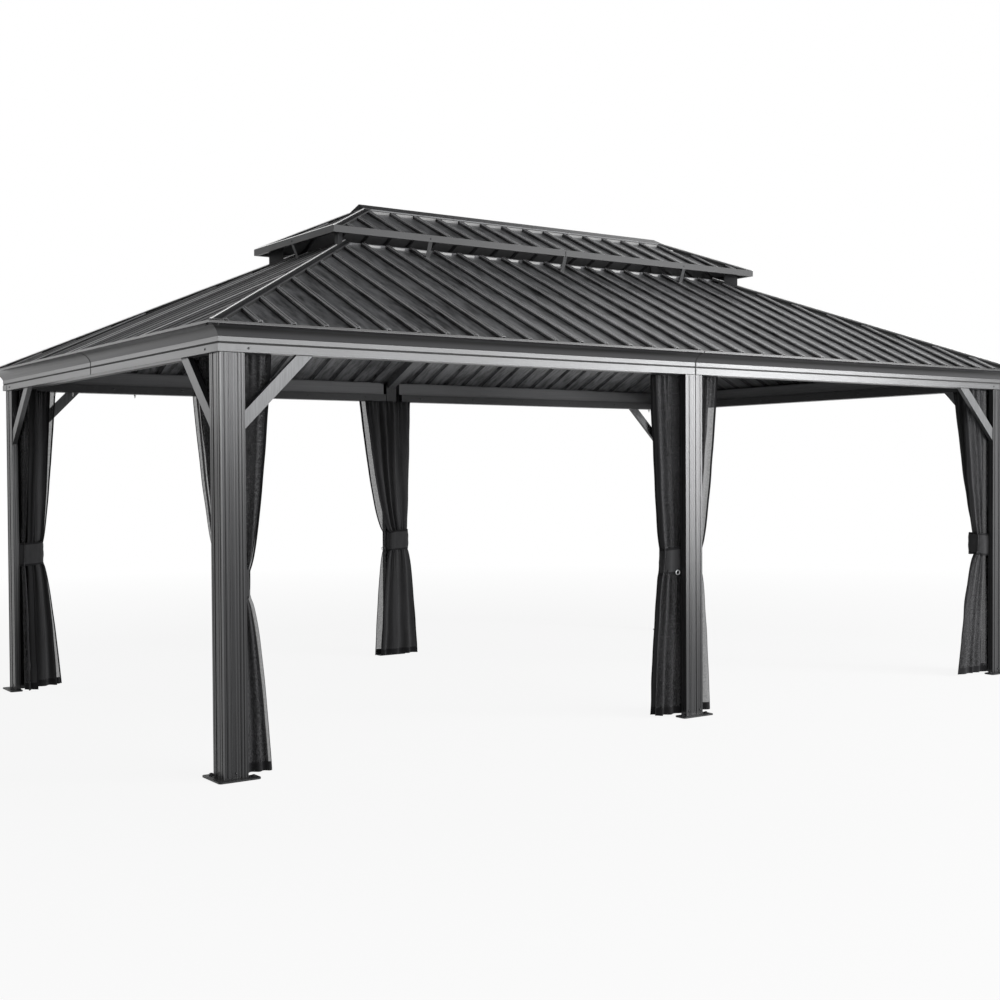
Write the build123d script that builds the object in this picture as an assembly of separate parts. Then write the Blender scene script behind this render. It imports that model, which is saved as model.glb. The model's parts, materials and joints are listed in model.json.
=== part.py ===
from build123d import *
import math
import os

# Hardtop metal gazebo: six posts, a ring of headers with a moulded gutter fascia,
# a ribbed hip roof, a small vent roof over its open top, and tied curtains.
# Millimetres. +X runs along the long side, the front faces -Y, the ground is z = 0.

# Overall form
roof_length = 5994.0  # gutter lip to gutter lip along X
roof_width = 3655.0  # gutter lip to gutter lip along Y
header_clearance = 1969.0  # ground to the underside of the headers
roof_pitch_deg = 25.0
vent_pitch_deg = 25.0
joint_gap = 0.3  # left between pieces that are fitted together
overrun = 40.0  # by which a cutting shape passes what it cuts

# Gutter fascia, from its foot up
lip_overhang = 74.0  # lip beyond the flat bands
fascia_wall = 3.0
skirt_height = 36.0
groove_height = 10.0
groove_depth = 5.0
band_height = 22.0
cove_height = 51.0
cove_sagitta = 15.0
lip_height = 12.0
fascia_seam = 5.0  # open joint where two lengths meet at mid side

# Posts
post_inset = 15.5  # post face behind the fascia's bands
corner_leg = 121.5
leg_thickness = 36.0
middle_post_width = 126.0
middle_post_depth = 45.0
middle_post_wall = 12.0
flute_depth = 2.5
corner_flute_shares = ((0.10, 0.16), (0.30, 0.34), (0.44, 0.72), (0.82, 0.86))
middle_flute_shares = ((0.10, 0.24), (0.38, 0.62), (0.76, 0.90))

# Base plates
plate_thickness = 8.0
plate_margin = 40.0  # plate beyond the post's outer faces
plate_arm = 210.0
plate_arm_width = 78.0
middle_plate_width = 230.0
plate_corner_radius = 16.0
anchor_radius = 5.5

# Headers and curtain tracks
header_depth = 52.0
header_height = 139.0
bearer_depth = 16.0  # upstand along the header's outer edge, under the roof sheet
header_break = 140.0  # opening between the header halves over a middle post
connector_width = 86.0
track_depth = 40.0
track_height = 55.0
track_slot = 9.0
track_slot_height = 14.0
track_slot_shares = (0.3, 0.7)

# Knee braces
brace_reach = 310.0  # centreline from the corner, along the post and along the header
brace_face = 60.0
brace_thickness = 28.0

# Ribbed roof sheets
sheet = 2.0
rib_pitch = 170.5
rib_base = 40.0
rib_top = 20.0
rib_height = 18.0
end_flange = 15.0  # upturned top edge of a sheet
pan_drop = 28.0  # underside of the sheet below the gutter lip, at the lip
eave_inset = 40.0  # sheet edge behind the lip, over the gutter
hip_gap = 8.0  # sheet edge short of the hip line, along the eave
vent_opening_width = 640.0  # the roof's open top, along Y

# Rafters and the ring round the open top
rafter_width = 60.0
rafter_depth = 60.0
ring_width = 40.0
ring_depth = 50.0

# Folded caps
cap_sheet = 2.5
cap_hem = 5.0  # turned-down edge, standing on the rib crests
hip_cap_half = 36.0
cap_eave_inset = 12.0  # lower end of a main hip cap behind the lip
ridge_cap_half = 88.0
ridge_end_share = 0.18  # of the cap's half width, its hipped end beyond the top line

# Vent roof
vent_end_overlap = 191.5  # vent eave beyond the open top, at the ends
vent_side_overlap = 217.0  # vent eave beyond the open top, at the long sides
vent_gap = 129.8  # main roof sheet to the foot of the vent fascia, at the long sides
vent_fascia_height = 40.0
vent_fascia_wall = 3.0
vent_fascia_flange = 24.0
vent_pan_drop = 30.0  # underside of the vent sheet below the fascia's top, at its face
vent_eave_inset = 5.0  # sheet and cap ends behind the fascia's face
vent_ridge_gap = 6.0
strap_width = 28.0
strap_thickness = 3.0
strap_foot = 30.0
strap_lean = 35.0  # foot of a strap further in than its top
hip_strap_length = 98.0
hip_strap_width = 20.0
hip_strap_inset = 65.0  # behind the vent fascia's corner
strap_place_share = 0.61  # of the vent roof's half length, moved to the nearest rib

# Curtains and their ties
curtain_depth = 84.0
curtain_hem_height = 14.0
tie_height = 900.0  # middle of the tie bands
tie_band = 150.0
tie_zone_share = 0.55  # of the band, drawn in above and below its middle
tie_wall = 5.0
corner_spread_top = 290.0
end_spread_top = 420.0
corner_spread_tie = 115.0
corner_spread_hem = 250.0
middle_spread_top = 225.0
front_middle_spread_tie = 140.0
back_middle_spread_tie = 68.0
middle_spread_hem = 175.0

# Worked out from the sizes above
roof_half_x = roof_length / 2
roof_half_y = roof_width / 2
frame_half_x = roof_half_x - lip_overhang
frame_half_y = roof_half_y - lip_overhang
fascia_height = skirt_height + groove_height + band_height + cove_height + lip_height
lip_z = header_clearance + fascia_height
roof_pitch = math.radians(roof_pitch_deg)
vent_pitch = math.radians(vent_pitch_deg)
roof_rise = math.tan(roof_pitch)
vent_rise = math.tan(vent_pitch)
pan_z = lip_z - pan_drop
rib_lift = (sheet + rib_height) / math.cos(roof_pitch)
vent_rib_lift = (sheet + rib_height) / math.cos(vent_pitch)
header_face = lip_overhang + groove_depth + fascia_wall
header_inner = header_face + header_depth
header_top = header_clearance + header_height
vent_opening_inset = roof_half_y - vent_opening_width / 2
ring_outer = vent_opening_inset - ring_width
vent_half_x = roof_half_x - vent_opening_inset + vent_end_overlap
vent_half_y = roof_half_y - vent_opening_inset + vent_side_overlap
vent_foot = pan_z + roof_rise * (roof_half_y - vent_half_y) + vent_gap
vent_eave_height = vent_foot + vent_fascia_height
vent_pan_z = vent_eave_height - vent_pan_drop
ridge_end_half = vent_half_x - vent_half_y + ridge_cap_half
ridge_half = ridge_end_half - ridge_cap_half * ridge_end_share
post_height = header_clearance - plate_thickness
leg_end = post_inset + corner_leg
corner_curtain_near = post_inset + leg_thickness + tie_wall + 2 * joint_gap
middle_curtain_near = post_inset + middle_post_depth + tie_wall + 2 * joint_gap
curtain_top = header_clearance - joint_gap
reach = roof_length + roof_width

CORNER_TOP = (corner_spread_top, end_spread_top)
CORNER_TIE = (corner_spread_tie, corner_spread_tie)
CORNER_HEM = (corner_spread_hem, corner_spread_hem)
MIDDLE_TIES = {"front": front_middle_spread_tie, "back": back_middle_spread_tie}
SIDES = {"front": 0, "right": 90, "back": 180, "left": -90}
CORNERS = {
    "front_left": (False, False),
    "front_right": (True, False),
    "back_left": (False, True),
    "back_right": (True, True),
}


def along_and_out(side, half_x, half_y):
    """Half length along a side and the distance out to it."""
    if side in ("left", "right"):
        return half_y, half_x
    return half_x, half_y


def on_side(side, shape):
    """A piece drawn for the front, turned to its own side."""
    return Rot(0, 0, SIDES[side]) * shape


def at_corner(corner, shape):
    """A piece drawn for the front left corner, mirrored to its own corner."""
    flip_x, flip_y = CORNERS[corner]
    if flip_x:
        shape = mirror(shape, about=Plane.YZ)
    if flip_y:
        shape = mirror(shape, about=Plane.XZ)
    return shape


def four_corners(shape):
    """The piece at all four corners."""
    return Compound([solid for corner in CORNERS for solid in at_corner(corner, shape).solids()])


def gathered(shapes):
    """Separate like pieces kept together."""
    return Compound([solid for shape in shapes for solid in shape.solids()])


def upright_prism(points):
    """Prism over a plan outline, from below the ground to above the roof."""
    return Pos(0, 0, -overrun) * extrude(Polygon(*points, align=None), reach, dir=(0, 0, 1))


def plan_block(half_x, half_y):
    """Upright block over a centred rectangle."""
    return upright_prism([(-half_x, -half_y), (half_x, -half_y), (half_x, half_y), (-half_x, half_y)])


def mid_slot(width):
    """Upright slot across the middle of a side."""
    return plan_block(width / 2, reach)


def roof_underside(inset):
    """Height of the roof sheet's underside, at a distance in from the gutter lip."""
    return pan_z + roof_rise * inset


def vent_underside(inset):
    """Height of the vent sheet's underside, at a distance in from the fascia's face."""
    return vent_pan_z + vent_rise * inset


def mitred_run(outline, half_length, half_depth):
    """One side of a ring, mitred at both ends; the outline holds insets and heights."""
    section = Plane.YZ * Pos(-half_depth, 0) * outline
    run = extrude(section, half_length, both=True)
    depth = min(half_length, half_depth) / 2
    low = half_length - joint_gap / 2
    high = low - depth
    wedge = upright_prism([
        (-low, -half_depth), (low, -half_depth),
        (high, depth - half_depth), (-high, depth - half_depth),
    ])
    return run & wedge


def fascia_outline():
    """Lip, cove, band, groove and skirt of the gutter fascia, as one bent strip."""
    band = lip_overhang
    groove = band + groove_depth
    z_skirt = header_clearance + skirt_height
    z_groove = z_skirt + groove_height
    z_band = z_groove + band_height
    z_cove = z_band + cove_height
    face = Polyline(
        (0, lip_z), (0, z_cove),
    ) + SagittaArc((0, z_cove), (band, z_band), cove_sagitta) + Polyline(
        (band, z_band), (band, z_groove), (groove, z_groove), (groove, z_skirt),
        (band, z_skirt), (band, header_clearance), (band + fascia_wall, header_clearance),
        (band + fascia_wall, z_skirt - fascia_wall), (groove + fascia_wall, z_skirt - fascia_wall),
        (groove + fascia_wall, z_groove + fascia_wall), (band + fascia_wall, z_groove + fascia_wall),
        (band + fascia_wall, z_band + fascia_wall),
    ) + SagittaArc(
        (band + fascia_wall, z_band + fascia_wall), (fascia_wall, z_cove + fascia_wall), -cove_sagitta
    ) + Polyline((fascia_wall, z_cove + fascia_wall), (fascia_wall, lip_z), (0, lip_z))
    return make_face(face)


def gutter(side):
    """Gutter fascia of one side, in two lengths that meet at mid side."""
    half_length, half_depth = along_and_out(side, roof_half_x, roof_half_y)
    run = mitred_run(fascia_outline(), half_length, half_depth)
    return on_side(side, run - mid_slot(fascia_seam))


def header(side):
    """Header beam with the bearer that the roof sheet lies on."""
    bearer = header_face + bearer_depth
    outline = Polygon(
        (header_face, header_clearance), (header_inner, header_clearance),
        (header_inner, header_top), (bearer, header_top),
        (bearer, roof_underside(bearer)), (header_face, roof_underside(header_face)),
        align=None,
    )
    half_length, half_depth = along_and_out(side, roof_half_x, roof_half_y)
    run = mitred_run(outline, half_length, half_depth)
    if side in ("front", "back"):
        run = run - mid_slot(header_break)
    return on_side(side, run)


def header_connector():
    """Block on a middle post that joins the two header halves."""
    block = Box(connector_width, header_depth, header_height, align=(Align.CENTER, Align.MIN, Align.MIN))
    return Pos(0, header_face - roof_half_y, header_clearance) * block


def curtain_track(side):
    """Double curtain track along the inner face of a header, slotted from below."""
    body = Pos(header_inner, header_clearance) * Rectangle(
        track_depth, track_height, align=(Align.MIN, Align.MIN)
    )
    slot = Rectangle(track_slot, track_slot_height, align=(Align.CENTER, Align.MIN))
    slots = [
        Pos(header_inner + track_depth * share, header_clearance) * slot for share in track_slot_shares
    ]
    half_length, half_depth = along_and_out(side, roof_half_x, roof_half_y)
    run = mitred_run(body - slots, half_length, half_depth)
    if side in ("front", "back"):
        run = run - mid_slot(header_break)
    return on_side(side, run)


def corner_post():
    """Angle post with flutes on both outer faces, at the front left."""
    inner = corner_leg - leg_thickness
    angle = Rectangle(corner_leg, corner_leg, align=(Align.MIN, Align.MIN))
    angle -= Pos(leg_thickness, leg_thickness) * Rectangle(inner, inner, align=(Align.MIN, Align.MIN))
    for start, end in corner_flute_shares:
        width = (end - start) * corner_leg
        place = start * corner_leg
        angle -= Pos(place, 0) * Rectangle(width, flute_depth, align=(Align.MIN, Align.MIN))
        angle -= Pos(0, place) * Rectangle(flute_depth, width, align=(Align.MIN, Align.MIN))
    foot = Pos(post_inset - frame_half_x, post_inset - frame_half_y, plate_thickness)
    return foot * extrude(angle, post_height, dir=(0, 0, 1))


def middle_post():
    """Channel post, open to the inside, with a fluted face, at the front."""
    face = Rectangle(middle_post_width, middle_post_depth, align=(Align.CENTER, Align.MIN))
    hollow_width = middle_post_width - 2 * middle_post_wall
    hollow = Rectangle(hollow_width, middle_post_depth, align=(Align.CENTER, Align.MIN))
    channel = face - Pos(0, middle_post_wall) * hollow
    for start, end in middle_flute_shares:
        place = ((start + end) / 2) * middle_post_width - middle_post_width / 2
        flute = Rectangle((end - start) * middle_post_width, flute_depth, align=(Align.CENTER, Align.MIN))
        channel -= Pos(place, 0) * flute
    foot = Pos(0, post_inset - frame_half_y, plate_thickness)
    return foot * extrude(channel, post_height, dir=(0, 0, 1))


def corner_base_plate():
    """Angle plate under a corner post, with an anchor hole in each arm."""
    arm = Rectangle(plate_arm, plate_arm_width, align=(Align.MIN, Align.MIN))
    other = Rectangle(plate_arm_width, plate_arm, align=(Align.MIN, Align.MIN))
    plate = arm + other
    plate = fillet(plate.vertices(), plate_corner_radius)
    hole_out = (plate_margin + corner_leg + plate_arm) / 2
    hole_in = plate_arm_width / 2
    plate -= Pos(hole_out, hole_in) * Circle(anchor_radius)
    plate -= Pos(hole_in, hole_out) * Circle(anchor_radius)
    corner = post_inset - plate_margin
    place = Pos(corner - frame_half_x, corner - frame_half_y, 0)
    return place * extrude(plate, plate_thickness, dir=(0, 0, 1))


def middle_base_plate():
    """Rectangular plate under a middle post, with an anchor hole at each end."""
    depth = plate_margin + middle_post_depth
    plate = RectangleRounded(middle_plate_width, depth, plate_corner_radius)
    hole_out = (middle_post_width + middle_plate_width) / 2 / 2
    plate -= [Pos(x, 0) * Circle(anchor_radius) for x in (-hole_out, hole_out)]
    place = Pos(0, post_inset - plate_margin + depth / 2 - frame_half_y, 0)
    return place * extrude(plate, plate_thickness, dir=(0, 0, 1))


def knee_brace(half_length, half_depth):
    """Slanting brace from post to header, in the front wall at its left end."""
    half_cut = brace_face / math.sqrt(2)
    outline = Polygon(
        (0, -brace_reach + half_cut), (0, -brace_reach - half_cut),
        (brace_reach + half_cut, 0), (brace_reach - half_cut, 0),
        align=None,
    )
    near = post_inset + (leg_thickness - brace_thickness) / 2
    plane = Plane(
        origin=(leg_end - half_length, near - half_depth, header_clearance),
        x_dir=(1, 0, 0), z_dir=(0, -1, 0),
    )
    return extrude(plane * outline, brace_thickness, dir=(0, 1, 0))


def knee_braces():
    """Both braces of the front left corner."""
    front = knee_brace(frame_half_x, frame_half_y)
    left = on_side("left", mirror(knee_brace(frame_half_y, frame_half_x), about=Plane.YZ))
    return gathered([front, left])


def rib_outline(inset):
    """Trapezium of a rib, drawn in from its outer surface by a wall."""
    slant = math.hypot(rib_height, (rib_base - rib_top) / 2) / rib_height
    foot = rib_base / 2 - inset * slant
    crest = rib_top / 2 - inset * slant / 2
    height = sheet + rib_height - inset
    return Polygon((-foot, 0), (foot, 0), (crest, height), (-crest, height), align=None)


def ribbed_slope(half_length, half_depth, top_depth, eave_z, pitch):
    """Roof sheet with ribs up the slope, cut to the hips; drawn for the front."""
    run = half_depth - top_depth
    count = int((half_length - rib_base) // rib_pitch)
    places = [n * rib_pitch for n in range(-count, count + 1)]
    flat = Rectangle(2 * half_length, sheet, align=(Align.CENTER, Align.MIN))
    section = flat + [Pos(x, 0) * rib_outline(0) for x in places]
    section = section - [Pos(x, 0) * rib_outline(sheet) for x in places]
    uphill = Vector(0, math.cos(pitch), math.sin(pitch))
    foot = Vector(0, -half_depth, eave_z) - uphill * overrun
    plane = Plane(origin=foot, x_dir=(-1, 0, 0), z_dir=uphill)
    length = run / math.cos(pitch) + 2 * overrun
    bent = extrude(plane * section, length, dir=uphill)
    crown = Plane(origin=foot + uphill * (length - overrun - sheet), x_dir=(-1, 0, 0), z_dir=uphill)
    upturn = Rectangle(2 * half_length, sheet + end_flange, align=(Align.CENTER, Align.MIN))
    bent = bent + extrude(crown * upturn, sheet, dir=uphill)
    top_half = half_length - run
    outline = [
        (-half_length, -half_depth), (half_length, -half_depth),
        (top_half, -top_depth), (-top_half, -top_depth),
    ]
    return bent & upright_prism(outline)


def roof_slope(side):
    """One slope of the main roof, from the gutter to the open top."""
    half_length, half_depth = along_and_out(side, roof_half_x, roof_half_y)
    top_depth = half_depth - vent_opening_inset
    shape = ribbed_slope(
        half_length - eave_inset - hip_gap, half_depth - eave_inset, top_depth,
        roof_underside(eave_inset), roof_pitch,
    )
    return on_side(side, shape)


def vent_slope(side):
    """One slope of the vent roof, up to the ridge or to a hip end's point."""
    half_length, half_depth = along_and_out(side, vent_half_x, vent_half_y)
    if side in ("front", "back"):
        top_depth = vent_ridge_gap
    else:
        top_depth = half_depth - half_length + rib_base
    shape = ribbed_slope(
        half_length - vent_eave_inset - hip_gap, half_depth - vent_eave_inset, top_depth,
        vent_underside(vent_eave_inset), vent_pitch,
    )
    return on_side(side, shape)


def hip_plane(half_x, half_y, height):
    """Upright plane across the front left hip at its foot, with its own y axis up."""
    return Plane(origin=(-half_x, -half_y, height), x_dir=(-1, 1, 0), z_dir=(1, 1, 0))


def hip_run(outline, half_x, half_y, height, rise, inset):
    """An outline carried up the front left hip, until it is an inset from both eaves."""
    uphill = Vector(1, 1, rise)
    section = hip_plane(half_x, half_y, height) * outline
    return extrude(section, uphill.length * inset, dir=uphill)


def folded_cap(half_width, fall):
    """Bent cap with turned-down edges, whose feet lie on two planes that meet at the origin."""
    inner = half_width - cap_sheet
    eave = cap_hem - inner * fall
    outer_eave = cap_hem + cap_sheet - half_width * fall
    right = [
        (inner, eave), (inner, -inner * fall),
        (half_width, -half_width * fall), (half_width, outer_eave),
    ]
    left = [(-x, z) for x, z in reversed(right)]
    return Polygon((0, cap_hem), *right, (0, cap_hem + cap_sheet), *left, align=None)


def roof_hip_cap():
    """Cap over a main hip, on the crests of the ribs."""
    outline = folded_cap(hip_cap_half, roof_rise / math.sqrt(2))
    cap = hip_run(outline, roof_half_x, roof_half_y, pan_z + rib_lift, roof_rise, vent_opening_inset)
    return cap & plan_block(roof_half_x - cap_eave_inset, roof_half_y - cap_eave_inset)


def vent_hip_cap():
    """Cap over a vent roof hip, butting on the ridge cap."""
    outline = folded_cap(hip_cap_half, vent_rise / math.sqrt(2))
    foot = vent_pan_z + vent_rib_lift
    cap = hip_run(outline, vent_half_x, vent_half_y, foot, vent_rise, vent_half_y)
    cap = cap & plan_block(vent_half_x - vent_eave_inset, vent_half_y - vent_eave_inset)
    return cap - plan_block(ridge_end_half + joint_gap, ridge_cap_half + joint_gap)


def hip_rafter():
    """Rafter under a main hip, its top bevelled to both roof sheets."""
    half = rafter_width / 2
    fall = half * roof_rise / math.sqrt(2)
    outline = Polygon(
        (0, 0), (half, -fall), (half, -fall - rafter_depth),
        (-half, -fall - rafter_depth), (-half, -fall),
        align=None,
    )
    rafter = hip_run(outline, roof_half_x, roof_half_y, pan_z, roof_rise, vent_opening_inset)
    rafter = rafter & plan_block(roof_half_x - header_inner, roof_half_y - header_inner)
    return rafter - plan_block(roof_half_x - ring_outer, roof_half_y - ring_outer)


def middle_rafter():
    """Rafter from the front header connector up to the ring."""
    low = roof_underside(header_inner)
    high = roof_underside(ring_outer)
    outline = Polygon(
        (header_inner, low), (ring_outer, high),
        (ring_outer, high - rafter_depth), (header_inner, low - rafter_depth),
        align=None,
    )
    section = Plane.YZ * Pos(-roof_half_y, 0) * outline
    return extrude(section, rafter_width / 2, both=True)


def ring_bar(side):
    """Bar of the ring under the roof's open top."""
    foot = roof_underside(ring_outer) - ring_depth
    outline = Polygon(
        (0, foot), (ring_width, foot),
        (ring_width, roof_underside(vent_opening_inset)), (0, roof_underside(ring_outer)),
        align=None,
    )
    half_length, half_depth = along_and_out(side, roof_half_x - ring_outer, roof_half_y - ring_outer)
    return on_side(side, mitred_run(outline, half_length, half_depth))


def vent_fascia(side):
    """Channel fascia of the vent roof, whose inner leg carries the sheet."""
    leg = vent_fascia_flange - vent_fascia_wall
    tread = vent_foot + vent_fascia_wall
    outline = Polygon(
        (0, vent_foot), (vent_fascia_flange, vent_foot),
        (vent_fascia_flange, vent_underside(vent_fascia_flange)), (leg, vent_underside(leg)),
        (leg, tread), (vent_fascia_wall, tread),
        (vent_fascia_wall, vent_eave_height), (0, vent_eave_height),
        align=None,
    )
    half_length, half_depth = along_and_out(side, vent_half_x, vent_half_y)
    run = mitred_run(outline, half_length, half_depth)
    if side in ("front", "back"):
        run = run - mid_slot(fascia_seam)
    return on_side(side, run)


def hipped_block(half_length, half_width, ridge_half, foot_z, edge_z, top_z):
    """Solid with a hipped top over a rectangle: a gable along X met by one along Y."""
    gable = Polygon(
        (-half_width, foot_z), (half_width, foot_z), (half_width, edge_z), (0, top_z), (-half_width, edge_z),
        align=None,
    )
    profile = Polygon(
        (-half_length, foot_z), (half_length, foot_z), (half_length, edge_z),
        (ridge_half, top_z), (-ridge_half, top_z), (-half_length, edge_z),
        align=None,
    )
    lengthwise = extrude(Plane.YZ * gable, half_length, both=True)
    return lengthwise & extrude(Plane.XZ * profile, half_width, both=True)


def ridge_cap():
    """Wide cap along the vent ridge with hipped ends, its edges standing on the rib crests."""
    seat = ridge_cap_half - cap_sheet
    foot = vent_underside(vent_half_y - seat) + vent_rib_lift
    edge = foot + cap_hem + cap_sheet
    top = edge + ridge_cap_half * vent_rise
    outer = hipped_block(ridge_end_half, ridge_cap_half, ridge_half, foot, edge, top)
    inner = hipped_block(
        ridge_end_half - cap_sheet, seat, ridge_half,
        foot - overrun, edge - cap_sheet * (1 - vent_rise), top - cap_sheet,
    )
    return outer - inner


def side_strap(half_depth, vent_half_depth, place):
    """Strap from the vent fascia's flange, leaning in to a rib of the main roof, with a foot up the rib."""
    out = half_depth - vent_half_depth + vent_fascia_wall
    heel = roof_underside(out + strap_lean) + rib_lift
    fall = (vent_foot - heel) / strap_lean
    toe = strap_lean + strap_foot
    toe_z = heel + strap_foot * roof_rise
    bend = (strap_lean + strap_thickness) - strap_thickness / (fall + roof_rise)
    outline = Polygon(
        (0, vent_foot), (strap_lean, heel), (toe, toe_z), (toe, toe_z + strap_thickness),
        (bend, vent_foot - fall * (bend - strap_thickness)), (strap_thickness, vent_foot),
        align=None,
    )
    section = Plane.YZ * Pos(out - half_depth, 0) * outline
    return Pos(place, 0, 0) * extrude(section, strap_width / 2, both=True)


def hip_strap():
    """Upright plate along a main hip, from its cap up to the vent sheet of the end."""
    fall = roof_rise / math.sqrt(2)
    half = hip_strap_width / 2
    corner = max(roof_half_x - vent_half_x, roof_half_y - vent_half_y)
    inset = corner + hip_strap_inset
    crest = pan_z + rib_lift + cap_hem + cap_sheet + roof_rise * inset
    top = vent_underside(hip_strap_inset) - half * fall
    outline = Polygon(
        (0, crest), (half, crest - half * fall), (half, top), (-half, top), (-half, crest - half * fall),
        align=None,
    )
    plane = hip_plane(roof_half_x - inset, roof_half_y - inset, 0)
    return extrude(plane * outline, hip_strap_length, dir=Vector(1, 1, roof_rise))


def vent_straps():
    """All straps that carry the vent roof."""
    step = round(strap_place_share * vent_half_x / rib_pitch) * rib_pitch
    long_side = [side_strap(roof_half_y, vent_half_y, place) for place in (-step, 0, step)]
    short_side = [side_strap(roof_half_x, vent_half_x, 0)]
    straps = [on_side(side, strap) for side in ("front", "back") for strap in long_side]
    straps += [on_side(side, strap) for side in ("left", "right") for strap in short_side]
    return gathered(straps + [four_corners(hip_strap())])


def corner_bundle(spreads):
    """Plan of a corner curtain, gathered along the tracks of the long side and of the end."""
    near = corner_curtain_near
    far = near + curtain_depth
    long_end, short_end = (near + spread for spread in spreads)
    outline = Polygon(
        (near, near), (long_end, near), (long_end, far), (far, far), (far, short_end), (near, short_end),
        align=None,
    )
    return Pos(-frame_half_x, -frame_half_y) * outline


def middle_bundle(spread):
    """Plan of a curtain gathered behind a middle post."""
    near = middle_curtain_near - frame_half_y
    return Pos(0, near) * Rectangle(2 * spread, curtain_depth, align=(Align.CENTER, Align.MIN))


def hung_curtain(bundle, spread_top, spread_tie, spread_hem):
    """Curtain drawn in at its tie and spread at track and hem."""
    sections = [
        Pos(0, 0, curtain_top) * bundle(spread_top),
        Pos(0, 0, tie_height + tie_band * tie_zone_share) * bundle(spread_tie),
        Pos(0, 0, tie_height - tie_band * tie_zone_share) * bundle(spread_tie),
        Pos(0, 0, curtain_hem_height) * bundle(spread_hem),
    ]
    return loft(sections, ruled=True)


def curtain_tie(bundle, spread_tie):
    """Band round a gathered curtain."""
    inner = offset(bundle(spread_tie), joint_gap, kind=Kind.INTERSECTION)
    outer = offset(bundle(spread_tie), joint_gap + tie_wall, kind=Kind.INTERSECTION)
    ring = extrude(outer - inner, tie_band, dir=(0, 0, 1))
    return Pos(0, 0, tie_height - tie_band / 2) * ring


def both_fronts(shape):
    """The piece at the front and its mirror image at the back."""
    return gathered([shape, mirror(shape, about=Plane.XZ)])


nodes = {}
for name in CORNERS:
    nodes[f"corner_post_{name}"] = at_corner(name, corner_post())
    nodes[f"knee_braces_{name}"] = at_corner(name, knee_braces())
    curtain = hung_curtain(corner_bundle, CORNER_TOP, CORNER_TIE, CORNER_HEM)
    nodes[f"curtain_{name}"] = at_corner(name, curtain)
for name in SIDES:
    nodes[f"header_{name}"] = header(name)
    nodes[f"gutter_{name}"] = gutter(name)
    nodes[f"roof_slope_{name}"] = roof_slope(name)
    nodes[f"vent_slope_{name}"] = vent_slope(name)
for name in ("front", "back"):
    nodes[f"middle_post_{name}"] = on_side(name, middle_post())
    curtain = hung_curtain(middle_bundle, middle_spread_top, MIDDLE_TIES[name], middle_spread_hem)
    nodes[f"curtain_{name}_middle"] = on_side(name, curtain)
nodes["corner_base_plates"] = four_corners(corner_base_plate())
nodes["middle_base_plates"] = both_fronts(middle_base_plate())
nodes["header_connectors"] = both_fronts(header_connector())
nodes["curtain_tracks"] = gathered([curtain_track(side) for side in SIDES])
nodes["roof_hip_caps"] = four_corners(roof_hip_cap())
nodes["hip_rafters"] = four_corners(hip_rafter())
nodes["middle_rafters"] = both_fronts(middle_rafter())
nodes["vent_ring"] = gathered([ring_bar(side) for side in SIDES])
nodes["vent_fascia"] = gathered([vent_fascia(side) for side in SIDES])
nodes["vent_hip_caps"] = four_corners(vent_hip_cap())
nodes["ridge_cap"] = ridge_cap()
nodes["vent_straps"] = vent_straps()
nodes["curtain_ties"] = gathered([
    four_corners(curtain_tie(corner_bundle, CORNER_TIE)),
    *[on_side(name, curtain_tie(middle_bundle, spread)) for name, spread in MIDDLE_TIES.items()],
])

os.makedirs("parts", exist_ok=True)
for name, shape in nodes.items():
    export_step(shape, f"parts/{name}.step")
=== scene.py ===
"""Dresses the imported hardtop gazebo: coats, curtains, netting, ties, small fittings and a pale studio stage."""
import json
import math

import bmesh
import bpy
import numpy as np
from bpy.props import FloatProperty, FloatVectorProperty, IntProperty, PointerProperty
from mathutils import Matrix, Vector


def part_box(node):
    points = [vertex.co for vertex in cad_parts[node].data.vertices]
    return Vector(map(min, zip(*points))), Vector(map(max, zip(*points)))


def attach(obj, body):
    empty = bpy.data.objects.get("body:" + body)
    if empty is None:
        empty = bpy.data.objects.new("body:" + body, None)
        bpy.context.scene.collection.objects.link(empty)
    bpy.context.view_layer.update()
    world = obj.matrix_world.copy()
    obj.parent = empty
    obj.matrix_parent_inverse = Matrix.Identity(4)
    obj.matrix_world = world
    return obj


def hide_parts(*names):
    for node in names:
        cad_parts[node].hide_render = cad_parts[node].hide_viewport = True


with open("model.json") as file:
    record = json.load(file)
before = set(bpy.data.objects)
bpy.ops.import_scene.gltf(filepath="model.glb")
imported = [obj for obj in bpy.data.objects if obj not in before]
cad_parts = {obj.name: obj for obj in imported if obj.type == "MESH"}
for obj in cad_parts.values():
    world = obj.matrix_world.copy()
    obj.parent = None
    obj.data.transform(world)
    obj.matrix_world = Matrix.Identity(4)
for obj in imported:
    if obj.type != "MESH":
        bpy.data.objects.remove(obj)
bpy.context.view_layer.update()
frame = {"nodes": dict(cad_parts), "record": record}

bl_info = {
    "name": "Hardtop Gazebo Dressing",
    "version": (1, 0, 0),
    "blender": (4, 5, 0),
    "location": "View3D > Sidebar > Gazebo",
    "description": "Coats, curtains, fittings and stage for the packed gazebo frame",
    "category": "Object",
}

NODES = frame["nodes"]
UP = np.array([0.0, 0.0, 1.0])
WHITE = (1.0, 1.0, 1.0, 1.0)

# Lie of the frame, in metres
LIP_X = -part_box("gutter_left")[0].x
LIP_Y = -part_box("gutter_front")[0].y
FASCIA_OVERHANG = 0.074
FRAME_X = LIP_X - FASCIA_OVERHANG
FRAME_Y = LIP_Y - FASCIA_OVERHANG
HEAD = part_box("header_front")[0].z
TRACK_X = 2.823
TRACK_Y = 1.6535
PLATE_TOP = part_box("corner_base_plates")[1].z
POST_INSET = 0.0155
FLUTE_PITCH = 0.0135

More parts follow.
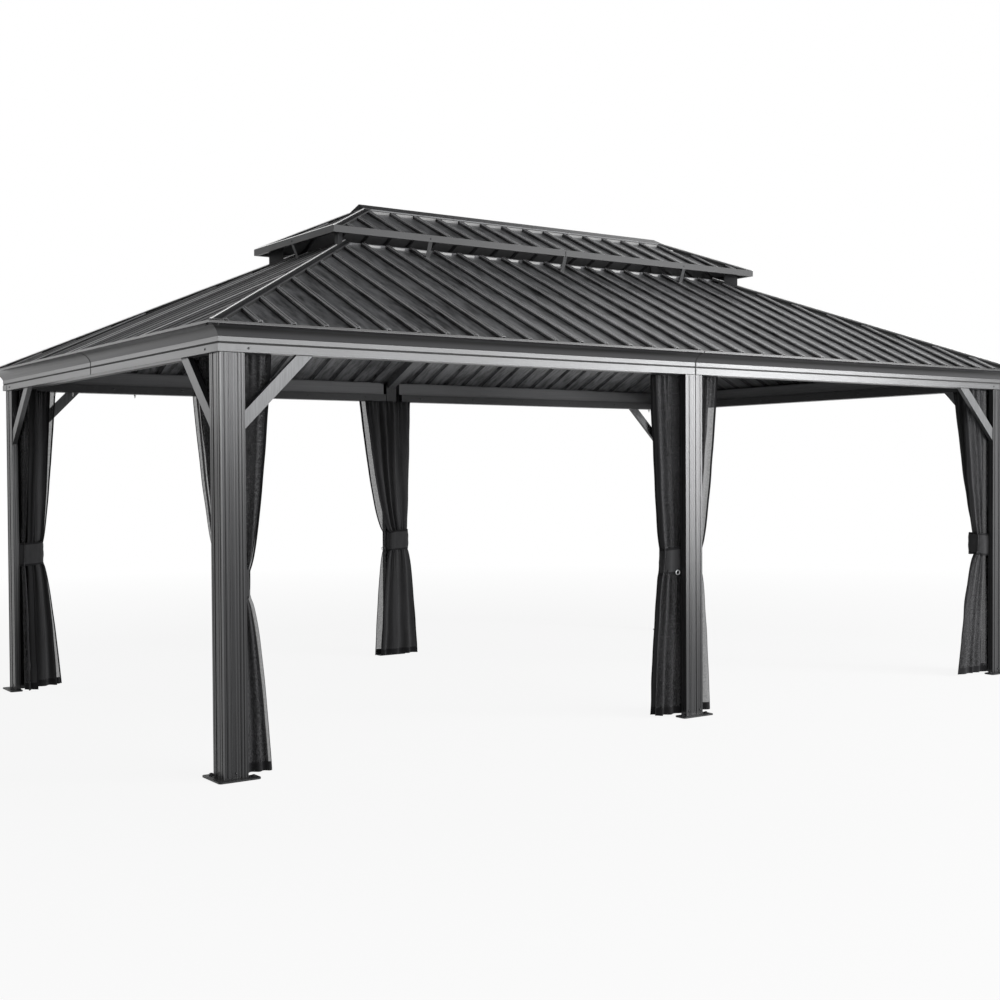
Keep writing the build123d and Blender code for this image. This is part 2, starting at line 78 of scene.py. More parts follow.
# Lie of the roof sheets
PITCH = math.radians(25.0)
RISE = math.tan(PITCH)
RIB_PITCH = 0.1705
# Half width of a rib's crest, middle and half width of the painted shade at a rib's foot, half width of the painted
# highlight on each bend
RIB_CREST_HALF = 0.010
RIB_SHADE_MIDDLE = 0.0196
RIB_SHADE_HALF = 0.0032
RIB_HIGHLIGHT_HALF = 0.0028
VENT_X = -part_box("vent_fascia")[0].x
VENT_Y = -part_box("vent_fascia")[0].y
VENT_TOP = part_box("vent_fascia")[1].z
VENT_PAN = 2.8136
PAN_TOP = 0.0022
CREST = 0.0221
OPEN_TOP_INSET = 1.5075
CAP_RISE = 0.0075
CAP_ROOM = CREST - PAN_TOP + 0.005
RIDGE_HALF_WIDTH = 0.088
STRAP_SPOTS = (-1.023, 0.0, 1.023)
# Half length, half width and height of the pans at the eave of both roofs
ROOFS = {"roof": (LIP_X, LIP_Y, 2.072), "vent": (VENT_X, VENT_Y, VENT_PAN)}

# Gutter over the headers: the cove's foot, rise and sagitta, the middle and half height of its painted shade, and
# the strengths of that painted shade, with a pale painted highlight line, from the band up to the lip
COVE_FOOT = 0.068
COVE_RISE = 0.051
COVE_SAGITTA = 0.015
COVE_MIDDLE = 0.100
COVE_HALF = 0.0318
COVE_SHADES = (
    (0.0, 1.6), (0.10, 2.6), (0.30, 2.2), (0.48, 0.6), (0.58, 0.5),
    (0.68, 2.0), (0.78, 1.8), (0.86, 0.3), (1.0, 0.3),
)

# Run and outward direction of each side, and the signs of each corner and middle post
SIDES = {
    "front": (np.array([1.0, 0.0, 0.0]), np.array([0.0, -1.0, 0.0])),
    "back": (np.array([-1.0, 0.0, 0.0]), np.array([0.0, 1.0, 0.0])),
    "left": (np.array([0.0, -1.0, 0.0]), np.array([-1.0, 0.0, 0.0])),
    "right": (np.array([0.0, 1.0, 0.0]), np.array([1.0, 0.0, 0.0])),
}
LONG_SIDES = ("front", "back")
CORNERS = {
    "front_left": (-1, -1), "front_right": (1, -1), "back_left": (-1, 1), "back_right": (1, 1),
}
MIDDLES = {"front_middle": -1, "back_middle": 1}
PLACES = (*CORNERS, *MIDDLES)
CORNER_SIGNS = np.array(list(CORNERS.values()), float)
HIP_ACROSS = np.column_stack([CORNER_SIGNS * (1.0, -1.0), np.zeros(4)])[:, None] / math.sqrt(2.0)
HIP_STATIONS = 5

# Turned fittings: radius and height of each step; the radii of roof screws and anchor bolts are shares of a washer
ROOF_SCREW = ((1.0, -0.0005), (1.0, 0.0012), (0.62, 0.0018), (0.58, 0.0062), (0.34, 0.0072))
ANCHOR_BOLT = ((1.0, 0.0002), (1.0, 0.0020), (0.78, 0.0022), (0.78, 0.0080), (0.62, 0.0092))
FASCIA_SCREW = ((0.006, -0.001), (0.006, 0.0008), (0.0045, 0.0022), (0.002, 0.0028))
TRACK_BOLT = ((0.0075, -0.001), (0.0075, 0.0016), (0.0055, 0.0040), (0.002, 0.0046))
POST_SCREW = ((0.0052, -0.006), (0.0052, 0.0006), (0.0040, 0.0020), (0.0016, 0.0024))
GLIDER = (
    (0.0030, 0.004), (0.0030, -0.004), (0.0075, -0.006), (0.0075, -0.012), (0.0035, -0.016), (0.0045, -0.024),
    (0.0020, -0.028),
)

# Places of the small fittings
RIBS = np.arange(-17, 18)
SCREW_BESIDE_RIB = 0.030
SCREW_BESIDE_STRAP = 0.048
SCREW_CLEAR_OF_HIP = 0.13
FASCIA_SCREW_FROM_END = 0.15
FASCIA_SCREW_HEIGHT = 0.018
VENT_SCREW_HEIGHT = 0.008
TRACK_BOLT_FROM_END = 0.12
TRACK_BOLT_HEIGHT = 0.030
GLIDER_FROM_END = 0.09
GLIDER_INTO_TRACK = 0.012
STRAY_GLIDERS = (2.49, 2.06)
POST_SCREW_FROM_EDGE = 0.061
MIDDLE_POST_SCREW = 0.044
POST_SCREW_HEIGHT = 0.024
RING_HEIGHT = 0.832
RING_ASIDE = -0.085
RING_RADIUS = 0.0135
RING_WIRE = 0.0026

# Half width and height of beads, strips and seals; the crest and lip beads are painted highlights, the groove strip
# is painted shade
CREST_HIGHLIGHT = (0.0046, 0.0046)
CREST_HIGHLIGHT_SINK = 0.0018
LIP_HIGHLIGHT = (0.0026, 0.0042)
LIP_HIGHLIGHT_INSET = 0.003
LIP_HIGHLIGHT_SINK = 0.0006
STRIP_HALF_WIDTH = 0.0015
HIP_STRIP_ASIDE = 0.027 / math.sqrt(2.0)
GROOVE_SHADE_STRIP = (0.0018, 0.0096)
GROOVE_FOOT = 0.0362
GROOVE_SHADE_INSET = 0.003
SEAM_SEAL = (0.0046, 0.0030)
SEAM_SEAL_SINK = 0.0022
# Insets from the eave where the painted highlight beads and the dark strips of painted shade along the hips start
# and end
CREST_HIGHLIGHT_RUNS = {"roof": (0.014, OPEN_TOP_INSET - 0.002), "vent": (0.007, 0.445)}
HIP_SHADE_RUNS = {"roof": (0.022, OPEN_TOP_INSET - 0.03), "vent": (0.022, 0.40)}
HIP_SHADE_HEIGHT = CAP_ROOM - 0.0006
# Shift from the middle of a pan, length, inset from the eave and height of the strips between the ribs
RIDGE_STRIP = (0.0, RIB_PITCH - 0.046, VENT_Y - RIDGE_HALF_WIDTH + 0.006, 0.0165)
OPEN_TOP_STRIP = (-0.018, 0.085, OPEN_TOP_INSET - 0.010, 0.0130)
# Reaches along both sides, wall, inset, foot and head of the angles round the frame's corners
CORNER_COVER = ((0.085, 0.085), 0.0014, 0.0, HEAD + 0.0015, HEAD + 0.0335)
# The posts' angles are pale beads, a painted highlight on each outer corner
POST_HIGHLIGHT = ((0.0050, 0.0020), 0.0012, POST_INSET, PLATE_TOP + 0.004, HEAD - 0.002)

# Lie of the curtains
CURTAIN_TOP = HEAD - 0.0003
CURTAIN_HEM = 0.014
CORNER_NEAR = 0.0571
MIDDLE_NEAR = 0.0661
CURTAIN_DEPTH = 0.084
TIE_MIDDLE = 0.9
TIE_HEIGHT = 0.15
CLOTH_LAYER = 0.014
NET_LAYER = -0.027
# Tie bands: slack round the cloth, power of their rounded plan, and shares of bulge, ripple and crease
CORNER_BAND_SLACK = 0.004
MIDDLE_BAND_SLACK = (0.008, 0.003)
BAND_SQUARE = 0.55
BAND_BULGE, BAND_RIPPLE, BAND_CREASE = 0.16, 0.03, 0.012

# Spread of each curtain under the track, at its tie and at the hem: along the long side and along the end for
# a corner, to the left and to the right for a middle post
SPREADS = {
    "front_left": ((0.250, 0.440), (0.125, 0.115), (0.236, 0.190)),
    "front_right": ((0.295, 0.300), (0.165, 0.115), (0.350, 0.220)),
    "back_left": ((0.215, 0.250), (0.150, 0.115), (0.235, 0.200)),
    "back_right": ((0.220, 0.280), (0.100, 0.115), (0.150, 0.210)),
    "front_middle": ((0.230, 0.242), (0.165, 0.112), (0.232, 0.180)),
    "back_middle": ((0.262, 0.135), (0.065, 0.095), (0.150, 0.180)),
}
# Netting that shows beyond the two edges of the cloth
NET_MARGINS = {
    "front_left": (-0.010, 0.004), "front_right": (0.026, 0.014), "back_left": (0.050, 0.014),
    "back_right": (0.014, 0.014), "front_middle": (0.010, 0.004), "back_middle": (0.030, 0.014),
}
# How the cloth falls: roots of its flare, sway of the folds, drops over which gathers and creases die out, and
# the shares of gathers, creases and wrinkles in a fold's depth
FLARE_ABOVE, FLARE_BELOW = 0.62, 0.55
SWAY = 0.030
GATHER_DROP, CREASE_DROP = 0.11, 0.13
GATHER_SHARE, CREASE_SHARE, WRINKLE_SHARE = 0.36, 0.20, 0.055
WRINKLE_RATES = (1.3, 2.1, 3.4, 4.6)

# Stage: place, aim, width and height of each lamp, then the camera's place, turn and shift
LAMPS = {
    "key": ((3.65, -10.45, 3.0), (-2.45, -0.14, 3.0), 11.2, 1.4),
    "post": ((7.10, -8.41, 1.75), (1.00, 1.9, 1.75), 2.8, 2.7),
    "end": ((-7.4, 7.6, 3.2), (-3.8, -0.4, 1.9), 4.0, 2.2),
}
CAMERA_PLACE = (-5.4813, -7.6725, 1.4026)
CAMERA_YAW, CAMERA_PITCH, CAMERA_ROLL = 0.6114, 0.0222, -0.0056
CAMERA_SHIFT = (-0.00631, 0.00508)
SENSOR_WIDTH = 36.0
FLOOR_HALF = 60.0
FLOOR_DROP = 0.0005
CEILING_X, CEILING_Y, CEILING_HEIGHT = (-16.0, 6.0), (-4.0, 26.0), 8.5
BOARD_POINTS = 13


def colour_value(name, description, *default):
    """A colour that a user may change."""
    return FloatVectorProperty(
        name=name, description=description, default=default, min=0.0, max=1.0, subtype="COLOR")


def length_value(name, description, default):
    """A length that a user may change."""
    return FloatProperty(name=name, description=description, default=default, unit="LENGTH")


def power_value(name, description, default):
    """A lamp's power that a user may change."""
    return FloatProperty(name=name, description=description, default=default, unit="POWER")


class GazeboFinish(bpy.types.PropertyGroup):
    """Colours of the coats, cloth and fittings."""
    frame_tint: colour_value("Frame coat", "Charcoal coat of posts, plates and tracks", 0.028, 0.0283, 0.0295)
    # The gutter's tint also paints the lighter flute lines on the posts, a painted highlight
    gutter_tint: colour_value("Gutter coat", "Lighter coat of gutter and flute lines", 0.062, 0.0625, 0.064)
    # Lighter copy of the charcoal frame coat on the headers, painted light on their inner faces
    header_tint: colour_value("Header coat", "Coat of the header beams inside the frame", 0.105, 0.106, 0.109)
    # Painted shade in the gutter's cove
    cove_tint: colour_value("Gutter cove", "Dark coat of the gutter's cove", 0.020, 0.020, 0.021)
    # Painted shade at the rib feet and on the vent roof's underside
    shade_tint: colour_value("Shaded coat", "Darkened coat at rib feet and under the vent roof", 0.018, 0.018, 0.019)
    # Lighter copy of the charcoal frame coat on the knee braces, painted light
    brace_tint: colour_value("Brace coat", "Lighter coat of the knee braces", 0.062, 0.063, 0.065)
    # Painted highlight lines along the bends of the rib crests
    bend_tint: colour_value("Rib bends", "Brightened coat along the bends of the ribs", 0.86, 0.86, 0.87)
    roof_tint: colour_value("Roof coat", "Coat of the ribbed roof sheets, ridge and rafters", 0.102, 0.103, 0.107)
    trim_tint: colour_value("Trim coat", "Coat of caps, straps and the vent fascia", 0.034, 0.0345, 0.036)
    cover_tint: colour_value("Corner covers", "Coat of the covers on the gutter's corners", 0.075, 0.0755, 0.077)
    # Painted highlight: pale beads on the posts' outer corners
    bead_tint: colour_value("Post beads", "Coat of the beads on the posts' outer corners", 0.07, 0.0705, 0.072)
    cloth_tint: colour_value("Curtain cloth", "Dyed polyester cloth", 0.036, 0.036, 0.0375)
    net_tint: colour_value("Netting", "Fine netting behind the cloth", 0.034, 0.034, 0.0355)
    hem_tint: colour_value("Hem tape", "Sewn tape on hems and edges", 0.009, 0.009, 0.010)
    zinc_tint: colour_value("Zinc", "Plated roof screws and tie rings", 0.62, 0.63, 0.64)
    # Painted highlight: pale beads on the hip cap crests and the vent fascia's lips
    crest_tint: colour_value("Highlight crests", "Highlight metal on hip cap crests and fascia lips", 0.90, 0.90, 0.90)
    screw_tint: colour_value("Blackened screws", "Dark screws and bolts of the frame", 0.05, 0.05, 0.052)
    # Painted reflection: pale strips between the ribs at the open top
    closure_tint: colour_value("Closures", "Pale strips at the open top", 0.48, 0.48, 0.48)
    # Painted reflection: pale strips between the ribs under the ridge cap
    ridge_tint: colour_value("Ridge closures", "Strips under the ridge cap", 0.32, 0.32, 0.32)
    # Painted shade: dark strips beside the hips under the hip caps
    foam_tint: colour_value("Hip foam", "Shadow strips under the hip caps", 0.010, 0.010, 0.010)
    # Painted shade as a dark strip in the gutter's groove; the same dark rubber seals the fascia's seams
    seal_tint: colour_value("Seals", "Rubber in the gutter's groove and seams", 0.006, 0.006, 0.006)
    glider_tint: colour_value("Gliders", "White moulded gliders", 0.78, 0.78, 0.76)


class GazeboCurtains(bpy.types.PropertyGroup):
    """Sizes of the tied curtains and their netting."""
    folds: IntProperty(
        name="Cloth folds", description="Large folds across one curtain", default=4, min=2, max=30)
    fold_depth: length_value("Cloth fold depth", "Half depth of a cloth fold", 0.024)
    net_folds: IntProperty(
        name="Netting folds", description="Large folds across one netting", default=6, min=2, max=60)
    net_fold_depth: length_value("Netting fold depth", "Half depth of a netting fold", 0.014)
    edge_tape: length_value("Edge tape", "Width of the sewn tape along the upright edges", 0.009)
    hem_band: length_value("Hem band", "Height of the sewn band at the hem", 0.040)


class GazeboFittings(bpy.types.PropertyGroup):
    """Sizes of screws, bolts and gliders."""
    screw_radius: length_value("Roof screw washer", "Radius of a roof screw's washer", 0.0085)
    eave_row: length_value("Eave screw row", "Inset of the eave row of screws from the gutter lip", 0.0906)
    middle_row: length_value("Middle screw row", "Inset of the middle row of screws", 0.707)
    top_row: length_value("Top screw row", "Inset of the top row of screws", 1.314)
    strap_row: length_value("Strap screw row", "Inset of the screws beside the vent roof's straps", 1.405)
    bolt_radius: length_value("Anchor bolt", "Radius of an anchor bolt's washer", 0.0115)
    track_bolt_pitch: length_value("Track bolt pitch", "Distance between the bolts of a curtain track", 0.47)
    glider_pitch: length_value("Glider pitch", "Distance between gliders at the top of a curtain", 0.062)


class GazeboStage(bpy.types.PropertyGroup):
    """Camera, floor and light of the studio."""
    focal_length: FloatProperty(
        name="Focal length", description="Lens of the camera on a 36 mm sensor", default=50.05, unit="CAMERA")
    floor_tint: colour_value("Floor", "Pale studio floor", 0.86, 0.86, 0.86)
    key_power: power_value("Key light", "Power of the wide, low light in front", 920.0)
    post_power: power_value("Post light", "Power of the upright light in front, to the right", 480.0)
    end_power: power_value("End light", "Power of the light behind, to the left", 62.0)
    sky_fill: FloatProperty(
        name="Fill", description="Strength of the even light from all round", default=0.32)
    ceiling_tint: colour_value("Ceiling", "Dark board over the stage, seen in the roof's gloss", 0.02, 0.02, 0.02)


def settings(group):
    """The scene's values of one property group."""
    return getattr(bpy.context.scene, group)


def colour(key):
    """One colour of the finish group, as a plain tuple."""
    return tuple(getattr(settings("gazebo_finish"), key + "_tint"))


# ---------------------------------------------------------------- surfaces

def grid_quads(rows, cols, wrap=False):
    """Corner numbers of the quads of a grid of rows by cols points; wrap joins the last column to the first."""
    row = np.arange(rows - 1)[:, None]
    col = np.arange(cols if wrap else cols - 1)[None, :]
    after = (col + 1) % cols
    quads = np.stack(
        [row * cols + col, row * cols + after, (row + 1) * cols + after, (row + 1) * cols + col], axis=-1)
    return quads.reshape(-1, 4)


def tubes(rings):
    """Closed tubes from rings of shape (tube, station, corner, 3): quads between the stations, flat ends."""
    count, stations, corners, _ = rings.shape
    first = (np.arange(count) * stations * corners)[:, None, None]
    walls = (grid_quads(stations, corners, wrap=True)[None] + first).reshape(-1, 4)
    foot = np.arange(corners)[::-1]
    head = (stations - 1) * corners + np.arange(corners)
    ends = (np.stack([foot, head])[None] + first).reshape(-1, corners)
    return rings.reshape(-1, 3), walls.tolist() + ends.tolist()


def turned(places, axes, profile, corners):
    """Rings of a profile of (radius, height) turned round an axis at each place.
    A point is place + radius * (cos t * side + sin t * front) + height * axis, t going round once."""
    axes = axes / np.linalg.norm(axes, axis=1, keepdims=True)
    lean = np.where(np.abs(axes[:, 2:]) > 0.9, np.array([[1.0, 0.0, 0.0]]), UP[None])
    side = np.cross(lean, axes)
    side = side / np.linalg.norm(side, axis=1, keepdims=True)
    front = np.cross(axes, side)
    turn = np.linspace(0.0, 2.0 * np.pi, corners, endpoint=False)
    round_it = np.cos(turn)[:, None] * side[:, None] + np.sin(turn)[:, None] * front[:, None]
    radius = profile[:, 0][None, :, None, None]
    height = profile[:, 1][None, :, None, None]
    return places[:, None, None] + radius * round_it[:, None] + height * axes[:, None, None]


def hoops(middles, radius, wire, steps=24, corners=8):
    """Upright rings across the front at each middle, turned from a round wire. A point is the middle plus
    (radius + wire cos v) * (cos u, 0, sin u) + wire * sin v * (0, 1, 0)."""
    turn, bend = np.meshgrid(
        np.linspace(0.0, 2.0 * np.pi, steps + 1)[:-1], np.linspace(0.0, 2.0 * np.pi, corners + 1)[:-1],
        indexing="ij")
    reach = radius + wire * np.cos(bend)
    ring = np.stack([reach * np.cos(turn), wire * np.sin(bend), reach * np.sin(turn)], axis=-1).reshape(-1, 3)
    quads = grid_quads(steps + 1, corners, wrap=True) % len(ring)
    first = (np.arange(len(middles)) * len(ring))[:, None, None]
    return (middles[:, None] + ring).reshape(-1, 3), (quads[None] + first).reshape(-1, 4).tolist()


def swept(path, across, lift, half_width, height):
    """Rings of a flat bar along a path: half_width to each side of it along across, height above it along lift."""
    corner = np.array([[-1.0, 0.0], [1.0, 0.0], [1.0, 1.0], [-1.0, 1.0]])
    across, lift = (np.broadcast_to(way, path.shape)[:, :, None] for way in (across, lift))
    return path[:, :, None] + half_width * corner[:, :1] * across + height * corner[:, 1:] * lift


def corner_wraps(reaches, wall, inset, low, high):
    """Rings of a thin angle round each corner of the frame: from a reach along the long side, mitred round the
    corner, to a reach along the end, standing out by wall from faces that lie inset behind the frame lines."""
    stations = np.array([[reaches[0], 0.0], [0.0, 0.0], [0.0, reaches[1]]])
    mitre = np.array([[0.0, 1.0], [1.0, 1.0], [1.0, 0.0]])
    edge = np.array([(0.0002, low), (0.0002, high), (wall, high), (wall, low)])
    plan = inset + stations[:, None] - edge[None, :, :1] * mitre[:, None]
    return np.stack([
        CORNER_SIGNS[:, 0, None, None] * (FRAME_X - plan[None, ..., 0]),
        CORNER_SIGNS[:, 1, None, None] * (FRAME_Y - plan[None, ..., 1]),
        np.broadcast_to(edge[None, None, :, 1], (4, 3, 4))], axis=-1)


def gutter_face(steps=9):
    """Outer face of the gutter from the foot of its skirt up to its lip, as insets from the lip, heights over the
    headers and outward directions: a straight skirt and band, then the hollow arc of the cove, whose middle lies a
    sagitta inside its chord. The arc stops a little short of the lip."""
    foot, head = np.array([FASCIA_OVERHANG, COVE_FOOT]), np.array([0.0, COVE_FOOT + COVE_RISE])
    chord = np.linalg.norm(head - foot)
    radius = (0.25 * chord ** 2 + COVE_SAGITTA ** 2) / (2.0 * COVE_SAGITTA)
    along = (head - foot) / chord
    outward = np.array([-along[1], along[0]])
    sweep = math.asin(0.5 * chord / radius) * np.linspace(-1.0, 0.985, steps)[:, None]
    hollow = np.cos(sweep) * outward - np.sin(sweep) * along
    cove = 0.5 * (foot + head) + (radius - COVE_SAGITTA) * outward - radius * hollow
    flat = np.array([[FASCIA_OVERHANG, 0.0], [FASCIA_OVERHANG, COVE_FOOT - 0.001]])
    return np.concatenate([flat, cove]), np.concatenate([[[-1.0, 0.0]] * 2, hollow])


def spans(side, half_x, half_y):
    """Half length and half depth of a rectangle, as a side sees it."""
    return (half_x, half_y) if side in LONG_SIDES else (half_y, half_x)


def on_face(side, along, depth, height):
    """Points and outward directions on an upright face of a side: along its run, out by depth, at a height."""
    run, out = SIDES[side]
    points = np.asarray(along, float)[:, None] * run + depth * out + height * UP
    return points, np.broadcast_to(out, points.shape)


def on_slope(roof, side, along, inset):
    """Points and outward normals on the pans of a roof: along the eave and inset from it, rising by the pitch."""
    run, out = SIDES[side]
    half_x, half_y, pan = ROOFS[roof]
    along, inset = np.broadcast_arrays(np.asarray(along, float), inset)
    points = (along[:, None] * run + (spans(side, half_x, half_y)[1] - inset)[:, None] * out
              + (pan + PAN_TOP + RISE * inset)[:, None] * UP)
    normal = math.sin(PITCH) * out + math.cos(PITCH) * UP
    return points, np.broadcast_to(normal, points.shape)


def hip_lines(roof, start, end, lift, aside=0.0):
    """Lines up the four hips of a roof from one inset to another, lift above the sheets' underside and aside of the
    hip by equal steps along both eaves."""
    half_x, half_y, pan = ROOFS[roof]
    inset = np.linspace(start, end, HIP_STATIONS)
    return np.stack([
        CORNER_SIGNS[:, :1] * (half_x - inset + aside), CORNER_SIGNS[:, 1:] * (half_y - inset - aside),
        np.broadcast_to(pan + lift + RISE * inset, (4, HIP_STATIONS))], axis=-1)


def between_ribs(roof, side, count, shift, length, inset, height):
    """Rings of low strips that stand on the pans between the ribs, across the slope at an inset."""
    run, out = SIDES[side]
    middles = (np.arange(-count, count) + 0.5) * RIB_PITCH + shift
    foot, normal = on_slope(roof, side, middles, inset)
    path = foot[:, None] + np.array([-0.5, 0.5])[None, :, None] * length * run
    down = out * math.cos(PITCH) - UP * math.sin(PITCH)
    return swept(path, down, normal[0], STRIP_HALF_WIDTH, height)


def make_piece(name, points, faces, finishes, uv=None, picks=None, smooth=False, closed=True):
    """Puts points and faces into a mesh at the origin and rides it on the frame."""
    mesh = bpy.data.meshes.new(name)
    mesh.from_pydata(np.asarray(points, float).tolist(), [], faces if isinstance(faces, list) else faces.tolist())
    for finish in finishes:
        mesh.materials.append(finish)
    if picks is not None:
        mesh.polygons.foreach_set("material_index", np.asarray(picks, np.int32))
    if uv is not None:
        layer = mesh.uv_layers.new(name="UVMap")
        layer.data.foreach_set("uv", uv[np.asarray(faces).ravel()].astype(np.float32).ravel())
    mesh.polygons.foreach_set("use_smooth", np.full(len(mesh.polygons), smooth))
    if closed:
        shell = bmesh.new()
        shell.from_mesh(mesh)
        bmesh.ops.recalc_face_normals(shell, faces=shell.faces)
        shell.to_mesh(mesh)
        shell.free()
    mesh.update()
    piece = bpy.data.objects.new(name, mesh)
    bpy.context.scene.collection.objects.link(piece)
    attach(piece, "root")
    return piece


def make_bars(name, rings, finish, smooth=False):
    """Makes one piece of closed tubes from a list of rings."""
    points, faces = tubes(np.concatenate(rings))
    return make_piece(name, points, faces, [finish], smooth=smooth)


def make_turned(name, rows, steps, corners, finish, smooth=False):
    """Makes one piece of like fittings, turned from the same steps at each row's points and along its axes."""
    places, axes = (np.concatenate(part) for part in zip(*rows))
    return make_bars(name, [turned(places, axes, np.array(steps), corners)], finish, smooth)


# ---------------------------------------------------------------- finishes

def set_inputs(tree, node, values, links):
    """Sets plain values and incoming links on a node's inputs."""
    for key, value in values.items():
        node.inputs[key].default_value = value
    for key, socket in links.items():
        tree.links.new(socket, node.inputs[key])


def add_node(tree, kind, options=None, values=None, links=None):
    """One shader node with its options, input values and incoming links."""
    made = tree.nodes.new(kind)
    for key, value in (options or {}).items():
        setattr(made, key, value)
    set_inputs(tree, made, values or {}, links or {})
    return made


def worked(tree, operation, *terms):
    """Socket of one sum: an operation on sockets and plain numbers."""
    plain = {place: term for place, term in enumerate(terms) if isinstance(term, (int, float))}
    links = {place: term for place, term in enumerate(terms) if place not in plain}
    return add_node(tree, "ShaderNodeMath", {"operation": operation}, plain, links).outputs["Value"]


def remap(tree, value, low, high, start=0.0, end=1.0):
    """Socket of a value that is carried from between start and end to between low and high."""
    ends = {"From Min": start, "From Max": end, "To Min": low, "To Max": high}
    return add_node(tree, "ShaderNodeMapRange", values=ends, links={"Value": value}).outputs["Result"]


def noise(tree, vector, scale, detail, **more):
    """Socket of a cloudy noise over a vector."""
    values = {"Scale": scale, "Detail": detail, **more}
    return add_node(tree, "ShaderNodeTexNoise", values=values, links={"Vector": vector}).outputs["Fac"]


def stretched(tree, vector, scale):
    """Socket of a vector that is scaled along its axes."""
    return add_node(tree, "ShaderNodeMapping", values={"Scale": scale}, links={"Vector": vector}).outputs["Vector"]


def bumped(tree, height, strength, distance):
    """Socket of a normal that a height pushes about."""
    values = {"Strength": strength, "Distance": distance}
    return add_node(tree, "ShaderNodeBump", values=values, links={"Height": height}).outputs["Normal"]


def place_on(tree, kind="Object"):
    """Socket of the place on a piece, in its own coordinates or on its UV map."""
    return add_node(tree, "ShaderNodeTexCoord").outputs[kind]


def split(tree, vector, axis):
    """Socket of one coordinate of a vector."""
    return add_node(tree, "ShaderNodeSeparateXYZ", links={0: vector}).outputs[axis]


def upward(tree):
    """Socket of how far a face looks up, from one down to minus one."""
    return split(tree, add_node(tree, "ShaderNodeNewGeometry").outputs["Normal"], "Z")


def new_finish(name):
    """A fresh material with its tree and shader."""
    finish = bpy.data.materials.new(name)
    finish.use_nodes = True
    return finish, finish.node_tree, finish.node_tree.nodes["Principled BSDF"]


def shades(tree, factor, tint, spread, low=0.3, high=0.7):
    """A ramp from a darker to a lighter shade of a tint, spread to each side."""
    ramp = add_node(tree, "ShaderNodeValToRGB", links={"Fac": factor})
    dark, light = ramp.color_ramp.elements
    dark.position, light.position = low, high
    dark.color = (*[c * (1.0 - spread) for c in tint], 1.0)
    light.color = (*[c * (1.0 + spread) for c in tint], 1.0)
    return ramp.outputs["Color"]


def coat(name, tint, rough, stretch, spread=0.16, grain=650.0, speckle=0.15, shine=0.5, metallic=0.0):
    """Satin powder coat: the tint wanders along drawn streaks, in broad clouds and in fine speckles, roughness
    goes with the streaks, and the speckles stand out as a fine orange peel."""
    cloud_share, reach = 0.45, 0.22
    finish, tree, shader = new_finish(name)
    place = place_on(tree)
    streak = noise(tree, stretched(tree, place, stretch), 1.0, 5.0, Roughness=0.62)
    clouded = worked(tree, "MULTIPLY_ADD", noise(tree, place, 2.3, 3.0), cloud_share, streak)
    fine = noise(tree, place, grain, 2.0)
    mixed = worked(tree, "MULTIPLY_ADD", fine, speckle, clouded)
    middle = 0.5 * (1.0 + cloud_share + speckle)
    set_inputs(tree, shader, {"Specular IOR Level": shine, "Metallic": metallic}, {
        "Base Color": shades(tree, mixed, tint, spread, middle - reach, middle + reach),
        "Roughness": remap(tree, streak, rough - 0.06, rough + 0.08),
        "Normal": bumped(tree, fine, 0.12, 0.0006)})
    return finish


def laid_over(finish, factor, tint):
    """Lays a second tint, a colour or a socket, over a finish where the factor is one."""
    tree = finish.node_tree
    shader = tree.nodes["Principled BSDF"]
    links = {0: factor, 6: shader.inputs["Base Color"].links[0].from_socket}
    mix = add_node(tree, "ShaderNodeMix", {"data_type": "RGBA"}, links=links)
    if isinstance(tint, tuple):
        mix.inputs[7].default_value = (*tint, 1.0)
    else:
        tree.links.new(tint, mix.inputs[7])
    tree.links.new(mix.outputs[2], shader.inputs["Base Color"])
    return finish


def paint_rib_light(finish, axis, tint, shade, least):
    """Paints shade on the feet of every rib and painted highlights on both bends of its crest: where the distance
    to the nearest rib line, a zigzag of the coordinate along the eave, is that of a foot or half a crest, and the
    face looks up. The painted highlight goes up and down from rib to rib, between a least share and all of it."""
    tree = finish.node_tree
    along = split(tree, place_on(tree), axis)
    rib = worked(tree, "PINGPONG", worked(tree, "DIVIDE", along, RIB_PITCH), 0.5)
    bend = worked(tree, "COMPARE", rib, RIB_CREST_HALF / RIB_PITCH, RIB_HIGHLIGHT_HALF / RIB_PITCH)
    seen = worked(tree, "MULTIPLY", bend, worked(tree, "GREATER_THAN", upward(tree), 0.2))
    flank_shade = worked(tree, "COMPARE", rib, RIB_SHADE_MIDDLE / RIB_PITCH, RIB_SHADE_HALF / RIB_PITCH)
    chance = add_node(
        tree, "ShaderNodeTexNoise", {"noise_dimensions": "1D"}, {"Scale": 4.3, "Detail": 2.0}, {"W": along})
    rib_highlight = worked(tree, "MULTIPLY", seen, remap(tree, chance.outputs["Fac"], least, 1.0, 0.36, 0.60))
    laid_over(laid_over(finish, flank_shade, shade), rib_highlight, tint)
    highlight_gloss = worked(tree, "MULTIPLY", rib_highlight, 0.30)
    tree.links.new(highlight_gloss, tree.nodes["Principled BSDF"].inputs["Metallic"])
    return finish


def paint_underside_shade(finish, tint):
    """Paints shade on every face that looks down."""
    tree = finish.node_tree
    return laid_over(finish, worked(tree, "LESS_THAN", upward(tree), 0.0), tint)


